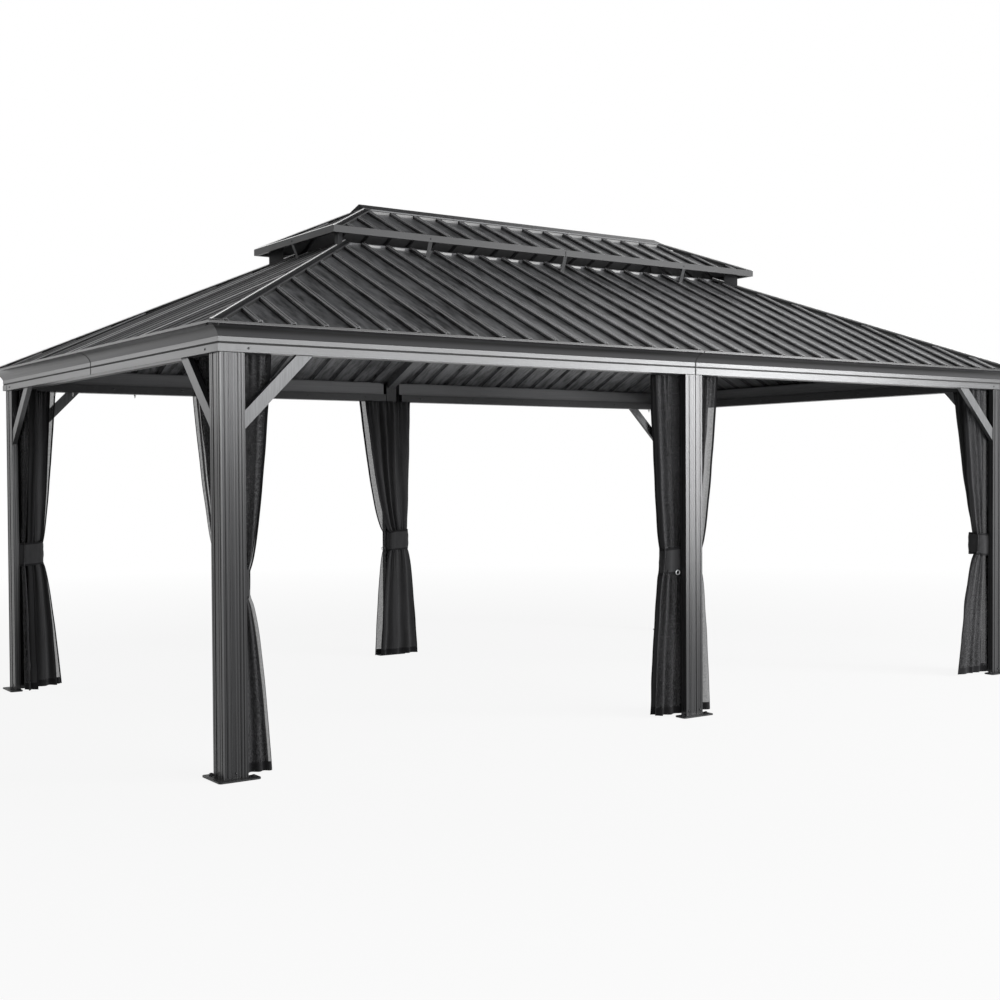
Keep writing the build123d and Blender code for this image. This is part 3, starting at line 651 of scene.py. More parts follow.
def paint_cove_shade(finish, tint):
    """Paints shade on the gutter's cove, the part of its height between band and lip: pale at the band, darkest
    under the lip, with a thin pale line, a painted highlight, between."""
    tree = finish.node_tree
    middle = HEAD + COVE_MIDDLE
    height = split(tree, place_on(tree), "Z")
    share = remap(tree, height, 0.0, 1.0, middle - COVE_HALF, middle + COVE_HALF)
    ramp = add_node(tree, "ShaderNodeValToRGB", links={"Fac": share})
    stops = ramp.color_ramp.elements
    while len(stops) < len(COVE_SHADES):
        stops.new(1.0)
    for stop, (position, strength) in zip(stops, COVE_SHADES):
        stop.position = position
        stop.color = (*[c * strength for c in tint], 1.0)
    return laid_over(finish, worked(tree, "COMPARE", height, middle, COVE_HALF), ramp.outputs["Color"])


def paint_flute_highlights(finish, tint):
    """Paints fine highlight lines for the flutes of the posts: where the sum of both plan coordinates, as a zigzag,
    is close to zero.
    """
    tree = finish.node_tree
    place = place_on(tree)
    both = worked(tree, "ADD", split(tree, place, "X"), split(tree, place, "Y"))
    flute = worked(tree, "PINGPONG", worked(tree, "DIVIDE", both, FLUTE_PITCH), 0.5)
    return laid_over(finish, worked(tree, "LESS_THAN", flute, 0.13), tint)


def woven(name, tint, pitch, rough=0.9, sheen=0.08, cover=None):
    """Woven cloth on its own UV in metres: threads both ways as a bump, creases along the drop in its shade.
    With cover, it is open netting, streaked and blotched, whose holes let about 1 - cover of the light through."""
    finish, tree, shader = new_finish(name)
    flat = place_on(tree, "UV")
    threads = [add_node(
        tree, "ShaderNodeTexWave", {"bands_direction": direction},
        {"Scale": 0.314 / pitch, "Distortion": 0.4, "Detail": 1.0}, {"Vector": flat}).outputs["Fac"]
        for direction in ("X", "Y")]
    weave = worked(tree, "MAXIMUM", *threads)
    crease = noise(tree, stretched(tree, flat, (26.0, 2.2, 1.0)), 1.0, 4.0)
    links = {"Normal": bumped(tree, weave, 0.25, 0.0008)}
    if cover is None:
        links["Base Color"] = shades(tree, crease, tint, 0.3)
    else:
        blotch = noise(tree, flat, 70.0, 2.0)
        layers = worked(tree, "MULTIPLY_ADD", blotch, 1.2, weave)
        streaks = worked(tree, "MULTIPLY_ADD", blotch, 0.9, crease)
        links["Alpha"] = remap(tree, layers, cover - 0.12, cover + 0.12, 0.7, 1.7)
        links["Base Color"] = shades(tree, streaks, tint, 0.6, 0.75, 1.0)
    set_inputs(tree, shader, {
        "Roughness": rough, "Sheen Weight": sheen, "Sheen Roughness": 0.5, "Specular IOR Level": 0.2}, links)
    return finish


def plated(name, tint, rough=0.34, metallic=1.0):
    """Plated metal, rubber or moulded plastic: mottled shade and roughness."""
    finish, tree, shader = new_finish(name)
    mottle = noise(tree, place_on(tree), 180.0, 3.0)
    set_inputs(tree, shader, {"Metallic": metallic}, {
        "Base Color": shades(tree, mottle, tint, 0.12),
        "Roughness": remap(tree, mottle, rough - 0.08, rough + 0.12)})
    return finish


def made_finish(name, maker, *values, **more):
    """The finish of that name, made once."""
    found = bpy.data.materials.get(name)
    return found if found else maker(name, *values, **more)


def zinc():
    """Plated finish of roof screws and rings."""
    return made_finish("zinc_plate", plated, colour("zinc"))


def blackened():
    """Dark finish of the frame's screws and bolts."""
    return made_finish("blackened_screw", plated, colour("screw"), 0.45)


def hem_tape():
    """Sewn tape of hems and edges."""
    return made_finish("hem_tape", woven, colour("hem"), 0.0012)


def dress(prefixes, finish):
    """Gives a finish to every CAD node whose name starts with one of the prefixes."""
    for name, node in NODES.items():
        if name.startswith(prefixes):
            node.data.materials.clear()
            node.data.materials.append(finish)


# ---------------------------------------------------------------- operators

class GAZEBO_OT_frame_coat(bpy.types.Operator):
    """Coats posts, plates, headers, tracks, gutter and braces"""
    bl_idname = "gazebo.frame_coat"
    bl_label = "Frame coat"

    def execute(self, context):
        satin = {"shine": 0.3, "metallic": 0.3}
        bright = {"shine": 0.5, "metallic": 0.45}
        # The posts' coat gets painted highlight lines on its flutes, in the gutter's lighter tint
        dress(("corner_post", "middle_post"), paint_flute_highlights(coat(
            "charcoal_coat_upright", colour("frame"), 0.26, (150.0, 150.0, 0.9), 0.34, **satin), colour("gutter")))
        for sides, run, stretch in ((LONG_SIDES, "long_run", (0.9, 150.0, 150.0)),
                                    (("left", "right"), "end_run", (150.0, 0.9, 150.0))):
            # Headers get a lighter copy of the frame coat, painted light
            dress(tuple("header_" + side for side in sides), coat(
                "charcoal_coat_" + run, colour("header"), 0.40, stretch, **satin))
            # The gutter's cove gets painted shade with a pale painted highlight line
            dress(tuple("gutter_" + side for side in sides), paint_cove_shade(coat(
                "gutter_coat_" + run, colour("gutter"), 0.32, stretch, **bright), colour("cove")))
        dress(("corner_base", "middle_base", "header_connectors", "curtain_tracks"), coat(
            "charcoal_coat_plain", colour("frame"), 0.42, (30.0, 30.0, 30.0), **satin))
        # Braces get a lighter copy of the frame coat, painted light
        dress(("knee_braces",), coat(
            "brace_coat", colour("brace"), 0.34, (140.0, 140.0, 9.0), 0.34, shine=0.5, metallic=0.5))
        return {"FINISHED"}


class GAZEBO_OT_roof_coat(bpy.types.Operator):
    """Coats the ribbed sheets, caps, rafters and the vent roof, with painted highlights and painted shade on the
    ribs; the end slopes are a darker copy of the sheet coat, painted shade, with less shine, darker rib-foot shade
    and more varied rib highlights
    """
    bl_idname = "gazebo.roof_coat"
    bl_label = "Roof coat"

    def execute(self, context):
        # Long sides, then end slopes: streaks, rib axis, shine, share of the sheet tint kept under the end slopes'
        # painted shade, shares of the rib highlight and rib-foot shade tints, least share of rib highlight
        for sides, stretch, axis, shine, shaded_sheet_share, highlight_share, shade_share, least in (
                (LONG_SIDES, (42.0, 7.0, 7.0), "X", 0.5, 1.0, 1.0, 1.0, 0.7),
                (("left", "right"), (1.6, 24.0, 1.6), "Y", 0.28, 0.55, 0.85, 0.4, 0.0)):
            sheet, bend, shade = (
                tuple(share * c for c in colour(key))
                for key, share in (("roof", shaded_sheet_share), ("bend", highlight_share), ("shade", shade_share)))
            for roof in ROOFS:
                finish = coat(
                    roof + "_sheet_coat_" + axis.lower(), sheet, 0.35, stretch, 0.9, 95.0, 0.3, shine)
                # Painted highlights on the rib bends and painted shade at the rib feet
                paint_rib_light(finish, axis, bend, shade, least)
                if roof == "vent":
                    # Painted shade on the vent roof's underside
                    paint_underside_shade(finish, colour("shade"))
                dress(tuple(roof + "_slope_" + side for side in sides), finish)
        dress(("ridge",), coat("ridge_coat", colour("roof"), 0.36, (9.0, 24.0, 24.0), metallic=0.2))
        dress(("roof_hip", "vent_hip", "vent_fascia", "vent_straps"),
              coat("trim_coat", colour("trim"), 0.42, (9.0, 9.0, 9.0), shine=0.35))
        dress(("hip_rafters", "middle_rafters", "vent_ring"),
              coat("rafter_coat", colour("roof"), 0.46, (20.0, 20.0, 20.0)))
        return {"FINISHED"}


class GAZEBO_OT_roof_screws(bpy.types.Operator):
    """Screws the roof sheets down beside their ribs, in three rows, and beside the vent roof's straps"""
    bl_idname = "gazebo.roof_screws"
    bl_label = "Roof screws"

    def execute(self, context):
        group = settings("gazebo_fittings")
        rows = []
        for side in SIDES:
            half_length = spans(side, LIP_X, LIP_Y)[0]
            for inset, step in ((group.eave_row, 1), (group.middle_row, 3), (group.top_row, 6)):
                along = RIBS[RIBS % step == 0] * RIB_PITCH + SCREW_BESIDE_RIB
                along = along[np.abs(along) < half_length - inset - SCREW_CLEAR_OF_HIP]
                rows.append(on_slope("roof", side, along, inset))
        for side in LONG_SIDES:
            rows.append(on_slope("roof", side, np.array(STRAP_SPOTS) + SCREW_BESIDE_STRAP, group.strap_row))
        steps = np.array(ROOF_SCREW) * (group.screw_radius, 1.0)
        make_turned("roof_screws", rows, steps, 6, zinc())
        return {"FINISHED"}


class GAZEBO_OT_crest_highlights(bpy.types.Operator):
    """Rolls a pale bead along the crest of each hip cap and along the end lips of the vent fascia, as a painted
    highlight
    """
    bl_idname = "gazebo.cap_crests"
    bl_label = "Hip cap crests"

    def execute(self, context):
        rings = []
        for roof, run in CREST_HIGHLIGHT_RUNS.items():
            path = hip_lines(roof, *run, CREST + CAP_RISE - CREST_HIGHLIGHT_SINK)
            rings.append(swept(path, HIP_ACROSS, UP, *CREST_HIGHLIGHT))
        along = np.linspace(-1.0, 1.0, HIP_STATIONS) * (VENT_Y - LIP_HIGHLIGHT_INSET)
        for side in (-1.0, 1.0):
            path = np.stack(np.broadcast_arrays(
                side * (VENT_X - LIP_HIGHLIGHT_INSET), along, VENT_TOP - LIP_HIGHLIGHT_SINK), axis=-1)
            rings.append(swept(path[None], np.array([1.0, 0.0, 0.0]), UP, *LIP_HIGHLIGHT))
        # The pale beads are painted highlights
        make_bars("hip_cap_crests", rings, made_finish("bare_crest", plated, colour("crest"), 0.5))
        return {"FINISHED"}


class GAZEBO_OT_closures(bpy.types.Operator):
    """Closes the gaps between the ribs under the ridge cap and at the open top with pale strips, a painted
    reflection, and lays dark strips of painted shade under the hip caps
    """
    bl_idname = "gazebo.closures"
    bl_label = "Closures"

    def execute(self, context):
        # Pale strips between the ribs under the ridge cap, a painted reflection
        strips = [between_ribs("vent", side, 7, *RIDGE_STRIP) for side in LONG_SIDES]
        dull = made_finish("ridge_strip", plated, colour("ridge"), 0.5, metallic=0.0)
        make_bars("ridge_closures", strips, dull)

        # Pale strips between the ribs at the open top, a painted reflection
        strips = [between_ribs("roof", side, 8 if side in LONG_SIDES else 1, *OPEN_TOP_STRIP) for side in SIDES]
        pale = made_finish("closure_strip", plated, colour("closure"), 0.6, metallic=0.0)
        make_bars("open_top_closures", strips, pale)

        # Dark strips beside each hip under the hip caps, painted shade
        lift = PAN_TOP - RISE * HIP_STRIP_ASIDE
        strips = [swept(
            hip_lines(roof, *run, lift, side * HIP_STRIP_ASIDE), HIP_ACROSS, UP, STRIP_HALF_WIDTH, HIP_SHADE_HEIGHT)
            for roof, run in HIP_SHADE_RUNS.items() for side in (-1.0, 1.0)]
        foam = made_finish("closure_foam", plated, colour("foam"), 0.8, metallic=0.0)
        make_bars("hip_closures", strips, foam)
        return {"FINISHED"}


class GAZEBO_OT_fascia_fittings(bpy.types.Operator):
    """Wraps covers round the gutter's corners, lays a dark strip of painted shade in its groove, seals its seams,
    and sets screws in the fascias
    """
    bl_idname = "gazebo.fascia_fittings"
    bl_label = "Fascia fittings"

    def execute(self, context):
        cover = made_finish("cover_coat", coat, colour("cover"), 0.34, (40.0, 40.0, 4.0), metallic=0.45)
        make_bars("fascia_corner_covers", [corner_wraps(*CORNER_COVER)], cover)

        # One dark finish: painted shade in the gutter's groove, and the seals in its seams
        seal = made_finish("groove_seal", plated, colour("seal"), 0.7, metallic=0.0)
        face, looks = gutter_face()
        grooves, seams, screws = [], [], []
        for side, (run, out) in SIDES.items():
            half_length, half_depth = spans(side, FRAME_X, FRAME_Y)
            reach = half_length - GROOVE_SHADE_INSET
            path, _ = on_face(side, (-reach, reach), half_depth - GROOVE_SHADE_INSET, HEAD + GROOVE_FOOT)
            grooves.append(swept(path[None], out, UP, *GROOVE_SHADE_STRIP))
            lift = -looks[:, :1] * out + looks[:, 1:] * UP
            path = ((half_depth + FASCIA_OVERHANG - face[:, :1]) * out + (HEAD + face[:, 1:]) * UP
                    - SEAM_SEAL_SINK * lift)
            seams.append(swept(path[None], run, lift, *SEAM_SEAL))
            reach = half_length - FASCIA_SCREW_FROM_END
            screws.append(on_face(side, (-reach, reach), half_depth, HEAD + FASCIA_SCREW_HEIGHT))
        make_bars("fascia_groove_seals", grooves, seal)
        make_bars("fascia_seam_seals", seams, seal)

        for side in SIDES:
            along = STRAP_SPOTS if side in LONG_SIDES else (0.0,)
            screws.append(on_face(side, along, spans(side, VENT_X, VENT_Y)[1], VENT_PAN + VENT_SCREW_HEIGHT))
        make_turned("fascia_screws", screws, FASCIA_SCREW, 8, blackened())
        return {"FINISHED"}


class GAZEBO_OT_track_fittings(bpy.types.Operator):
    """Bolts the curtain tracks and hangs white gliders from the slots at the back and the right end"""
    bl_idname = "gazebo.track_fittings"
    bl_label = "Track fittings"

    def execute(self, context):
        group = settings("gazebo_fittings")
        bolts, gliders = [], []
        for side in SIDES:
            half_length, half_depth = spans(side, TRACK_X, TRACK_Y)
            reach = half_length - TRACK_BOLT_FROM_END
            count = int(2.0 * reach / group.track_bolt_pitch) + 1
            points, outward = on_face(side, np.linspace(-reach, reach, count), half_depth, HEAD + TRACK_BOLT_HEIGHT)
            bolts.append((points, -outward))
            if side in ("back", "right"):
                end = half_length - GLIDER_FROM_END - group.glider_pitch * np.arange(3)
                along = np.concatenate([-end, end, STRAY_GLIDERS if side == "back" else ()])
                points, _ = on_face(side, along, half_depth + GLIDER_INTO_TRACK, HEAD)
                gliders.append((points, np.broadcast_to(UP, points.shape)))
        make_turned("track_bolts", bolts, TRACK_BOLT, 8, blackened())
        white = made_finish("white_nylon", plated, colour("glider"), 0.42, metallic=0.0)
        make_turned("track_gliders", gliders, GLIDER, 8, white, smooth=True)
        return {"FINISHED"}


class GAZEBO_OT_post_fittings(bpy.types.Operator):
    """Sets anchor bolts in the base plates, screws at the foot of the posts and pale beads on their outer corners
    as a painted highlight
    """
    bl_idname = "gazebo.post_fittings"
    bl_label = "Post fittings"

    def execute(self, context):
        group = settings("gazebo_fittings")
        bolts = []
        for mount in frame["record"]["mounts"]:
            if mount["kind"] == "bolt_pattern":
                half_x = mount["dims"]["spacing_x_mm"] / 2000.0
                half_y = mount["dims"]["spacing_y_mm"] / 2000.0
                points = np.array([(x, y, PLATE_TOP) for x in (-half_x, half_x) for y in (-half_y, half_y)])
                bolts.append((points, np.broadcast_to(UP, points.shape)))
        steps = np.array(ANCHOR_BOLT) * (group.bolt_radius, 1.0)
        make_turned("anchor_bolts", bolts, steps, 6, blackened())

        spots, axes = [], []
        height = PLATE_TOP + POST_SCREW_HEIGHT
        for sign_x, sign_y in CORNERS.values():
            x, y = sign_x * (FRAME_X - POST_INSET), sign_y * (FRAME_Y - POST_INSET)
            spots += [
                (x - sign_x * POST_SCREW_FROM_EDGE, y, height), (x, y - sign_y * POST_SCREW_FROM_EDGE, height)]
            axes += [(0, sign_y, 0), (sign_x, 0, 0)]
        for sign_y in MIDDLES.values():
            for x in (-MIDDLE_POST_SCREW, MIDDLE_POST_SCREW):
                spots.append((x, sign_y * (FRAME_Y - POST_INSET), height))
                axes.append((0, sign_y, 0))
        rows = [(np.array(spots, float), np.array(axes, float))]
        make_turned("post_screws", rows, POST_SCREW, 8, blackened())

        # Pale beads on the posts' outer corners, a painted highlight
        bead = made_finish("polished_bead", coat, colour("bead"), 0.30, (90.0, 90.0, 1.0), metallic=0.45)
        make_bars("post_corner_beads", [corner_wraps(*POST_HIGHLIGHT)], bead)
        return {"FINISHED"}


# ---------------------------------------------------------------- curtains

def corner_line(share, spread, end_spread):
    """Line of a corner curtain, a rounded L: down one arm, round a quarter circle, along the other arm.
    Gives insets from both frame faces and the direction towards the post."""
    half = CURTAIN_DEPTH / 2.0
    arm = np.maximum(spread - CURTAIN_DEPTH, 0.004)
    end_arm = np.maximum(end_spread - CURTAIN_DEPTH, 0.004)
    walked = share * (arm + end_arm + 0.5 * math.pi * half)
    turn = np.clip((walked - arm) / half, 0.0, 0.5 * math.pi)
    before = np.clip(arm - walked, 0.0, None)
    after = np.clip(walked - arm - 0.5 * math.pi * half, 0.0, None)
    out_x, out_y = -np.sin(turn), -np.cos(turn)
    centre = CORNER_NEAR + CURTAIN_DEPTH
    return centre + half * out_x + before, centre + half * out_y + after, out_x, out_y


def middle_line(share, left, right):
    """Line of a middle curtain: straight along the track, to both sides of the post."""
    walked = share * (left + right) - left
    inset = np.full_like(walked, MIDDLE_NEAR + CURTAIN_DEPTH / 2.0)
    return walked, inset, np.zeros_like(walked), np.full_like(walked, -1.0)


def from_insets(place, in_x, in_y, z):
    """Points at a post from insets: from both frame faces for a corner, from the post's middle and the long frame
    face for a middle post."""
    if place in MIDDLES:
        return np.stack([in_x, MIDDLES[place] * (FRAME_Y - in_y), z], axis=-1)
    sign_x, sign_y = CORNERS[place]
    return np.stack([sign_x * (FRAME_X - in_x), sign_y * (FRAME_Y - in_y), z], axis=-1)


def wander(rng, share, terms):
    """Slow seeded sum of sines along the width, within about one each way."""
    order = np.arange(1, terms + 1)[:, None, None]
    strength = rng.uniform(0.4, 1.0, (terms, 1, 1)) / order ** 0.5
    phase = rng.uniform(0, 1, (terms, 1, 1))
    return (strength * np.sin(2.0 * np.pi * (order * share[None] + phase))).sum(0) / 1.6


def folded(rng, share, folds):
    """Large folds along the width: sines whose widths and strengths are seeded fold by fold."""
    edges = np.concatenate([[0.0], np.cumsum(rng.uniform(0.5, 1.5, folds))])
    count = np.interp(share, edges / edges[-1], np.arange(folds + 1.0))
    strength = np.interp(count, np.arange(folds + 1.0), rng.uniform(0.5, 1.0, folds + 1))
    return strength * np.sin(2.0 * np.pi * count + 0.8 * wander(rng, share, 3) + rng.uniform(0.0, 6.0))


def hung_cloth(place, folds, depth, layer, seed, margins, cols, rows=90):
    """Grid of a tied curtain. At height z the cloth follows the plan line of its bundle, whose length is the
    spread there: wide under the track, drawn in at the tie, flaring to the hem by a root of the distance
    from the tie. Across the line it is pushed by layer plus large folds, one set above the tie and another
    below it, by fine gathers that die out under the track, by creases near the tie and by slow wrinkles."""
    rng = np.random.default_rng(seed)
    share = np.linspace(0.0, 1.0, cols)[None, :]
    level = np.linspace(0.0, 1.0, rows)[:, None]
    z = CURTAIN_HEM + (CURTAIN_TOP - CURTAIN_HEM) * level
    tie_top, tie_low = TIE_MIDDLE + 0.45 * TIE_HEIGHT, TIE_MIDDLE - 0.45 * TIE_HEIGHT
    above = np.clip((z - tie_top) / (CURTAIN_TOP - tie_top), 0.0, 1.0)
    below = np.clip((tie_low - z) / (tie_low - CURTAIN_HEM), 0.0, 1.0)
    free = np.maximum(above, below)
    open_net = 1.0 if place in MIDDLES else 0.35 + 0.65 * free
    spreads = [
        tie + (top - tie) * above ** FLARE_ABOVE + (low - tie) * below ** FLARE_BELOW + margin * open_net
        for top, tie, low, margin in zip(*SPREADS[place], margins)]
    line = middle_line if place in MIDDLES else corner_line
    in_x, in_y, out_x, out_y = line(share + 0 * z, *(spread + 0 * share for spread in spreads))
    lean = share + SWAY * np.sin(2.0 * np.pi * (0.55 * z + rng.uniform())) * np.sin(np.pi * share)
    upper, lower = folded(rng, lean, folds), folded(rng, lean, max(folds - 1, 2))
    turn = np.clip((z - tie_low) / (tie_top - tie_low), 0.0, 1.0)
    wave = upper * turn + lower * (1.0 - turn)
    heading = np.exp((z - CURTAIN_TOP) / GATHER_DROP)
    near_tie = np.exp(-np.abs(z - TIE_MIDDLE) / CREASE_DROP)
    gathers = np.sin(2.0 * np.pi * (3.6 * folds * share + 0.6 * wander(rng, share, 4)))
    creases = np.sin(2.0 * np.pi * (2.6 * folds * share + 0.9 * wander(rng, share, 4)))
    wrinkles = sum(
        rng.uniform(0.5, 1.0) * np.sin(2.0 * np.pi * (rng.uniform(-2.2, 2.2) * share + rate * z + rng.uniform()))
        for rate in WRINKLE_RATES)
    push = layer + depth * ((0.50 + 0.50 * free ** 0.5) * (1.0 - 0.35 * heading) * wave
                            + GATHER_SHARE * heading * gathers + CREASE_SHARE * near_tie * creases
                            + WRINKLE_SHARE * wrinkles)
    push = np.clip(push, -0.5 * CURTAIN_DEPTH, 0.5 * CURTAIN_DEPTH)
    points = from_insets(place, in_x - push * out_x, in_y - push * out_y, z + 0 * share)
    width = np.linalg.norm(np.diff(points, axis=1), axis=2).sum(1).mean()
    return points, share, z - CURTAIN_HEM, float(width)


def hang(name, place, body, margins, folds, depth, layer, seed, cols):
    """Makes one curtain or netting, with its sewn hem and edges as faces of a second finish."""
    group = settings("gazebo_curtains")
    points, share, height, width = hung_cloth(place, folds, depth, layer, seed, margins, cols)
    rows = len(points)
    uv = np.stack([share * width + 0 * height, height + 0 * share], axis=-1).reshape(-1, 2)
    edge = group.edge_tape / width
    low = height[:-1] < group.hem_band
    side = (share[:, :-1] < edge) | (share[:, 1:] > 1.0 - edge)
    piece = make_piece(
        name, points.reshape(-1, 3), grid_quads(rows, cols), [body, hem_tape()],
        uv=uv, picks=(low | side).ravel(), smooth=True, closed=False)
    return piece


def thicken(piece, name, thickness, offset):
    """Gives a sheet its thickness."""
    wall = piece.modifiers.new(name, "SOLIDIFY")
    wall.thickness, wall.offset = thickness, offset


class GAZEBO_OT_drapes(bpy.types.Operator):
    """Hangs the pleated cloth at every post in place of the plain curtain solids"""
    bl_idname = "gazebo.drapes"
    bl_label = "Curtain cloth"

    def execute(self, context):
        group = settings("gazebo_curtains")
        cloth = made_finish("curtain_cloth", woven, colour("cloth"), 0.0014)
        for seed, place in enumerate(PLACES, start=11):
            piece = hang("drape_" + place, place, cloth, (0.0, 0.0), group.folds, group.fold_depth,
                         CLOTH_LAYER, seed, 160)
            thicken(piece, "cloth_thickness", 0.0008, 0.0)
            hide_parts("curtain_" + place)
        return {"FINISHED"}


class GAZEBO_OT_nettings(bpy.types.Operator):
    """Hangs the finer netting between the cloth and the posts"""
    bl_idname = "gazebo.nettings"
    bl_label = "Netting"

    def execute(self, context):
        group = settings("gazebo_curtains")
        net = made_finish("insect_net", woven, colour("net"), 0.0042, 0.8, 0.05, cover=0.72)
        for seed, place in enumerate(PLACES, start=31):
            hang("netting_" + place, place, net, NET_MARGINS[place], group.net_folds, group.net_fold_depth,
                 NET_LAYER, seed, 170)
        return {"FINISHED"}


class GAZEBO_OT_ties(bpy.types.Operator):
    """Wraps a cloth band round each curtain and hangs a ring on the bands of the middle posts"""
    bl_idname = "gazebo.ties"
    bl_label = "Curtain ties"

    def execute(self, context):
        turn = np.linspace(0.0, 2.0 * np.pi, 72, endpoint=False)[None, :]
        level = np.linspace(-0.5, 0.5, 13)[:, None]
        cos, sin = np.cos(turn), np.sin(turn)
        bands, lengths = [], []
        rng = np.random.default_rng(51)
        for place in PLACES:
            tie_a, tie_b = SPREADS[place][1]
            if place in CORNERS:
                half_a, half_b = tie_a / 2.0 + CORNER_BAND_SLACK, tie_b / 2.0 + CORNER_BAND_SLACK
                centre = (CORNER_NEAR + tie_a / 2.0, CORNER_NEAR + tie_b / 2.0)
            else:
                half_a = (tie_a + tie_b) / 2.0 + MIDDLE_BAND_SLACK[0]
                half_b = CURTAIN_DEPTH / 2.0 + MIDDLE_BAND_SLACK[1]
                centre = ((tie_b - tie_a) / 2.0, MIDDLE_NEAR + CURTAIN_DEPTH / 2.0)
            ripple = wander(rng, turn / (2.0 * np.pi), 5)
            # A rounded rectangle, from signed powers of cos and sin, that bulges at mid height and ripples
            size = (1.0 - BAND_BULGE * level ** 2 - BAND_RIPPLE * (ripple + 1.0)
                    + BAND_CREASE * np.sin(2.0 * np.pi * (level * 2.4 + ripple)))
            in_x = centre[0] + half_a * size * np.sign(cos) * np.abs(cos) ** BAND_SQUARE
            in_y = centre[1] + half_b * size * np.sign(sin) * np.abs(sin) ** BAND_SQUARE
            z = TIE_MIDDLE + TIE_HEIGHT * level + 0.006 * cos + 0.003 * ripple
            band = from_insets(place, in_x, in_y, z)
            bands.append(band)
            loop = np.diff(np.concatenate([band, band[:, :1]], axis=1), axis=1)
            lengths.append(np.linalg.norm(loop, axis=2).sum(1).mean())
        rows, cols = bands[0].shape[:2]
        first = (np.arange(len(bands)) * rows * cols)[:, None, None]
        faces = (grid_quads(rows, cols, wrap=True)[None] + first).reshape(-1, 4)
        around = np.stack(np.broadcast_arrays(turn / (2.0 * np.pi), level + 0.5), axis=-1).reshape(-1, 2)
        uv = np.concatenate([around * (length, TIE_HEIGHT) for length in lengths])
        edge = np.abs(level[:-1] + level[1:]) > 0.80
        picks = np.tile(np.broadcast_to(edge, (rows - 1, cols)).ravel(), len(bands))
        cloth = made_finish("tie_cloth", woven, colour("cloth"), 0.0016)
        piece = make_piece(
            "curtain_tie_bands", np.concatenate([band.reshape(-1, 3) for band in bands]), faces,
            [cloth, hem_tape()], uv=uv, picks=picks, smooth=True, closed=False)
        thicken(piece, "band_thickness", 0.0022, -1.0)
        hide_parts("curtain_ties")

        middles = np.array([
            (RING_ASIDE, sign * (FRAME_Y - MIDDLE_NEAR + 0.004), RING_HEIGHT) for sign in MIDDLES.values()])
        points, faces = hoops(middles, RING_RADIUS, RING_WIRE)
        make_piece("tie_rings", points, faces, [zinc()], smooth=True)
        return {"FINISHED"}


# ---------------------------------------------------------------- stage

def lamp(name, place, aim, width, height, power):
    """A soft rectangular light at a place, turned to a point."""
    light = bpy.data.lights.new(name, "AREA")
    light.shape, light.size, light.size_y, light.energy = "RECTANGLE", width, height, power
    holder = bpy.data.objects.new(name, light)
    bpy.context.scene.collection.objects.link(holder)
    holder.location = place
    holder.rotation_mode = "QUATERNION"
    holder.rotation_quaternion = (Vector(aim) - Vector(place)).to_track_quat("-Z", "Y")


def seen_rays(tree):
    """One for rays that come from the camera, a mirror or a clear surface, else zero."""
    path = add_node(tree, "ShaderNodeLightPath").outputs
    first = worked(tree, "MAXIMUM", path["Is Camera Ray"], path["Is Glossy Ray"])
    return worked(tree, "MAXIMUM", first, path["Is Transmission Ray"])


def stage_board(name, along_x, along_y, height):
    """A level board of the stage, a square grid of points, with an empty material tree."""
    across, back = np.meshgrid(np.linspace(*along_x, BOARD_POINTS), np.linspace(*along_y, BOARD_POINTS))
    points = np.stack([across, back, np.full_like(across, height)], axis=-1).reshape(-1, 3)
    mesh = bpy.data.meshes.new(name)
    mesh.from_pydata(points.tolist(), [], grid_quads(BOARD_POINTS, BOARD_POINTS).tolist())
    finish = bpy.data.materials.new(name)
    finish.use_nodes = True
    finish.node_tree.nodes.clear()
    mesh.materials.append(finish)
    board = bpy.data.objects.new(name, mesh)
    bpy.context.scene.collection.objects.link(board)
    return board, finish.node_tree


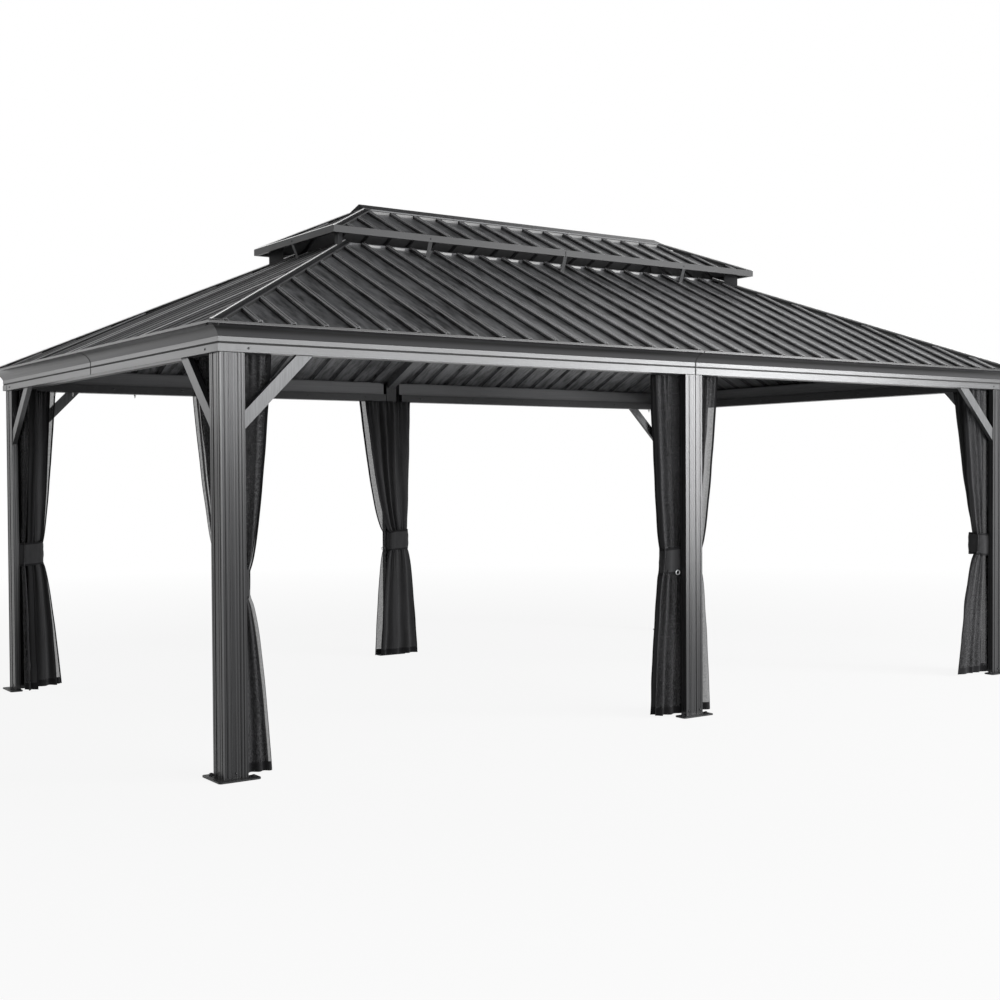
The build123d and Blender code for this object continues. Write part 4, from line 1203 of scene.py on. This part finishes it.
class GAZEBO_OT_stage(bpy.types.Operator):
    """Sets the world, the floor, the dark board above, the lights and the camera"""
    bl_idname = "gazebo.stage"
    bl_label = "Studio stage"

    def execute(self, context):
        scene, group = context.scene, settings("gazebo_stage")
        scene.view_settings.view_transform = "Standard"

        world = bpy.data.worlds.new("white_studio")
        world.use_nodes = True
        scene.world = world
        tree = world.node_tree
        tree.nodes.clear()
        fill = add_node(tree, "ShaderNodeBackground", values={"Color": WHITE, "Strength": group.sky_fill})
        white = add_node(tree, "ShaderNodeBackground", values={"Color": WHITE, "Strength": 1.0})
        mix = add_node(tree, "ShaderNodeMixShader", links={
            0: seen_rays(tree), 1: fill.outputs["Background"], 2: white.outputs["Background"]})
        add_node(tree, "ShaderNodeOutputWorld", links={"Surface": mix.outputs["Shader"]})

        _, tree = stage_board("studio_floor", (-FLOOR_HALF, FLOOR_HALF), (-FLOOR_HALF, FLOOR_HALF), -FLOOR_DROP)
        matt = add_node(tree, "ShaderNodeBsdfDiffuse", values={"Color": (*group.floor_tint, 1.0)})
        glow = add_node(tree, "ShaderNodeEmission", values={"Color": WHITE, "Strength": 1.0})
        far = add_node(tree, "ShaderNodeVectorMath", {"operation": "LENGTH"}, links={0: place_on(tree)})
        share = remap(tree, far.outputs["Value"], 0.90, 1.0, 4.0, 12.0)
        mix = add_node(tree, "ShaderNodeMixShader", links={
            0: worked(tree, "MULTIPLY", seen_rays(tree), share), 1: matt.outputs["BSDF"],
            2: glow.outputs["Emission"]})
        add_node(tree, "ShaderNodeOutputMaterial", links={"Surface": mix.outputs["Shader"]})

        board, tree = stage_board("studio_ceiling", CEILING_X, CEILING_Y, CEILING_HEIGHT)
        board.visible_camera = False
        dark = add_node(tree, "ShaderNodeBsdfDiffuse", values={"Color": (*group.ceiling_tint, 1.0)})
        add_node(tree, "ShaderNodeOutputMaterial", links={"Surface": dark.outputs["BSDF"]})

        for name, lie in LAMPS.items():
            lamp(name + "_light", *lie, getattr(group, name + "_power"))

        camera = bpy.data.cameras.new("photo_view")
        camera.sensor_fit, camera.sensor_width, camera.lens = "HORIZONTAL", SENSOR_WIDTH, group.focal_length
        camera.shift_x, camera.shift_y = CAMERA_SHIFT
        camera.clip_end = 500.0
        level = math.cos(CAMERA_PITCH)
        right = Vector((math.cos(CAMERA_YAW), -math.sin(CAMERA_YAW), 0.0))
        ahead = Vector((math.sin(CAMERA_YAW) * level, math.cos(CAMERA_YAW) * level, -math.sin(CAMERA_PITCH)))
        over = right.cross(ahead)
        tilted = right * math.cos(CAMERA_ROLL) + over * math.sin(CAMERA_ROLL)
        top = over * math.cos(CAMERA_ROLL) - right * math.sin(CAMERA_ROLL)
        holder = bpy.data.objects.new("photo_view", camera)
        scene.collection.objects.link(holder)
        turn = Matrix((tilted, top, -ahead)).transposed().to_4x4()
        holder.matrix_world = Matrix.Translation(CAMERA_PLACE) @ turn
        scene.camera = holder
        return {"FINISHED"}


class GAZEBO_PT_dressing(bpy.types.Panel):
    """Lists the gazebo's dressing steps"""
    bl_idname = "GAZEBO_PT_dressing"
    bl_label = "Gazebo"
    bl_space_type = "VIEW_3D"
    bl_region_type = "UI"
    bl_category = "Gazebo"

    def draw(self, context):
        for step in STEPS:
            self.layout.operator(step.bl_idname)
        for group in GROUPS:
            for key in GROUPS[group].__annotations__:
                self.layout.prop(settings(group), key)


GROUPS = {
    "gazebo_finish": GazeboFinish, "gazebo_curtains": GazeboCurtains,
    "gazebo_fittings": GazeboFittings, "gazebo_stage": GazeboStage,
}
STEPS = (
    GAZEBO_OT_frame_coat, GAZEBO_OT_roof_coat, GAZEBO_OT_roof_screws, GAZEBO_OT_crest_highlights,
    GAZEBO_OT_closures, GAZEBO_OT_fascia_fittings, GAZEBO_OT_track_fittings, GAZEBO_OT_post_fittings,
    GAZEBO_OT_drapes, GAZEBO_OT_nettings, GAZEBO_OT_ties, GAZEBO_OT_stage,
)


def register():
    """Registers the groups, steps and panel, and hangs the groups on the scene."""
    for made in (*GROUPS.values(), *STEPS, GAZEBO_PT_dressing):
        bpy.utils.register_class(made)
    for group, made in GROUPS.items():
        setattr(bpy.types.Scene, group, PointerProperty(type=made))


def unregister():
    """Takes everything away again that register added."""
    for group in GROUPS:
        delattr(bpy.types.Scene, group)
    for made in reversed((*GROUPS.values(), *STEPS, GAZEBO_PT_dressing)):
        bpy.utils.unregister_class(made)


def main():
    """Registers the add-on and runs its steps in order."""
    register()
    for step in STEPS:
        getattr(bpy.ops.gazebo, step.bl_idname.split(".")[1])()


if __name__ == "__main__":
    main()
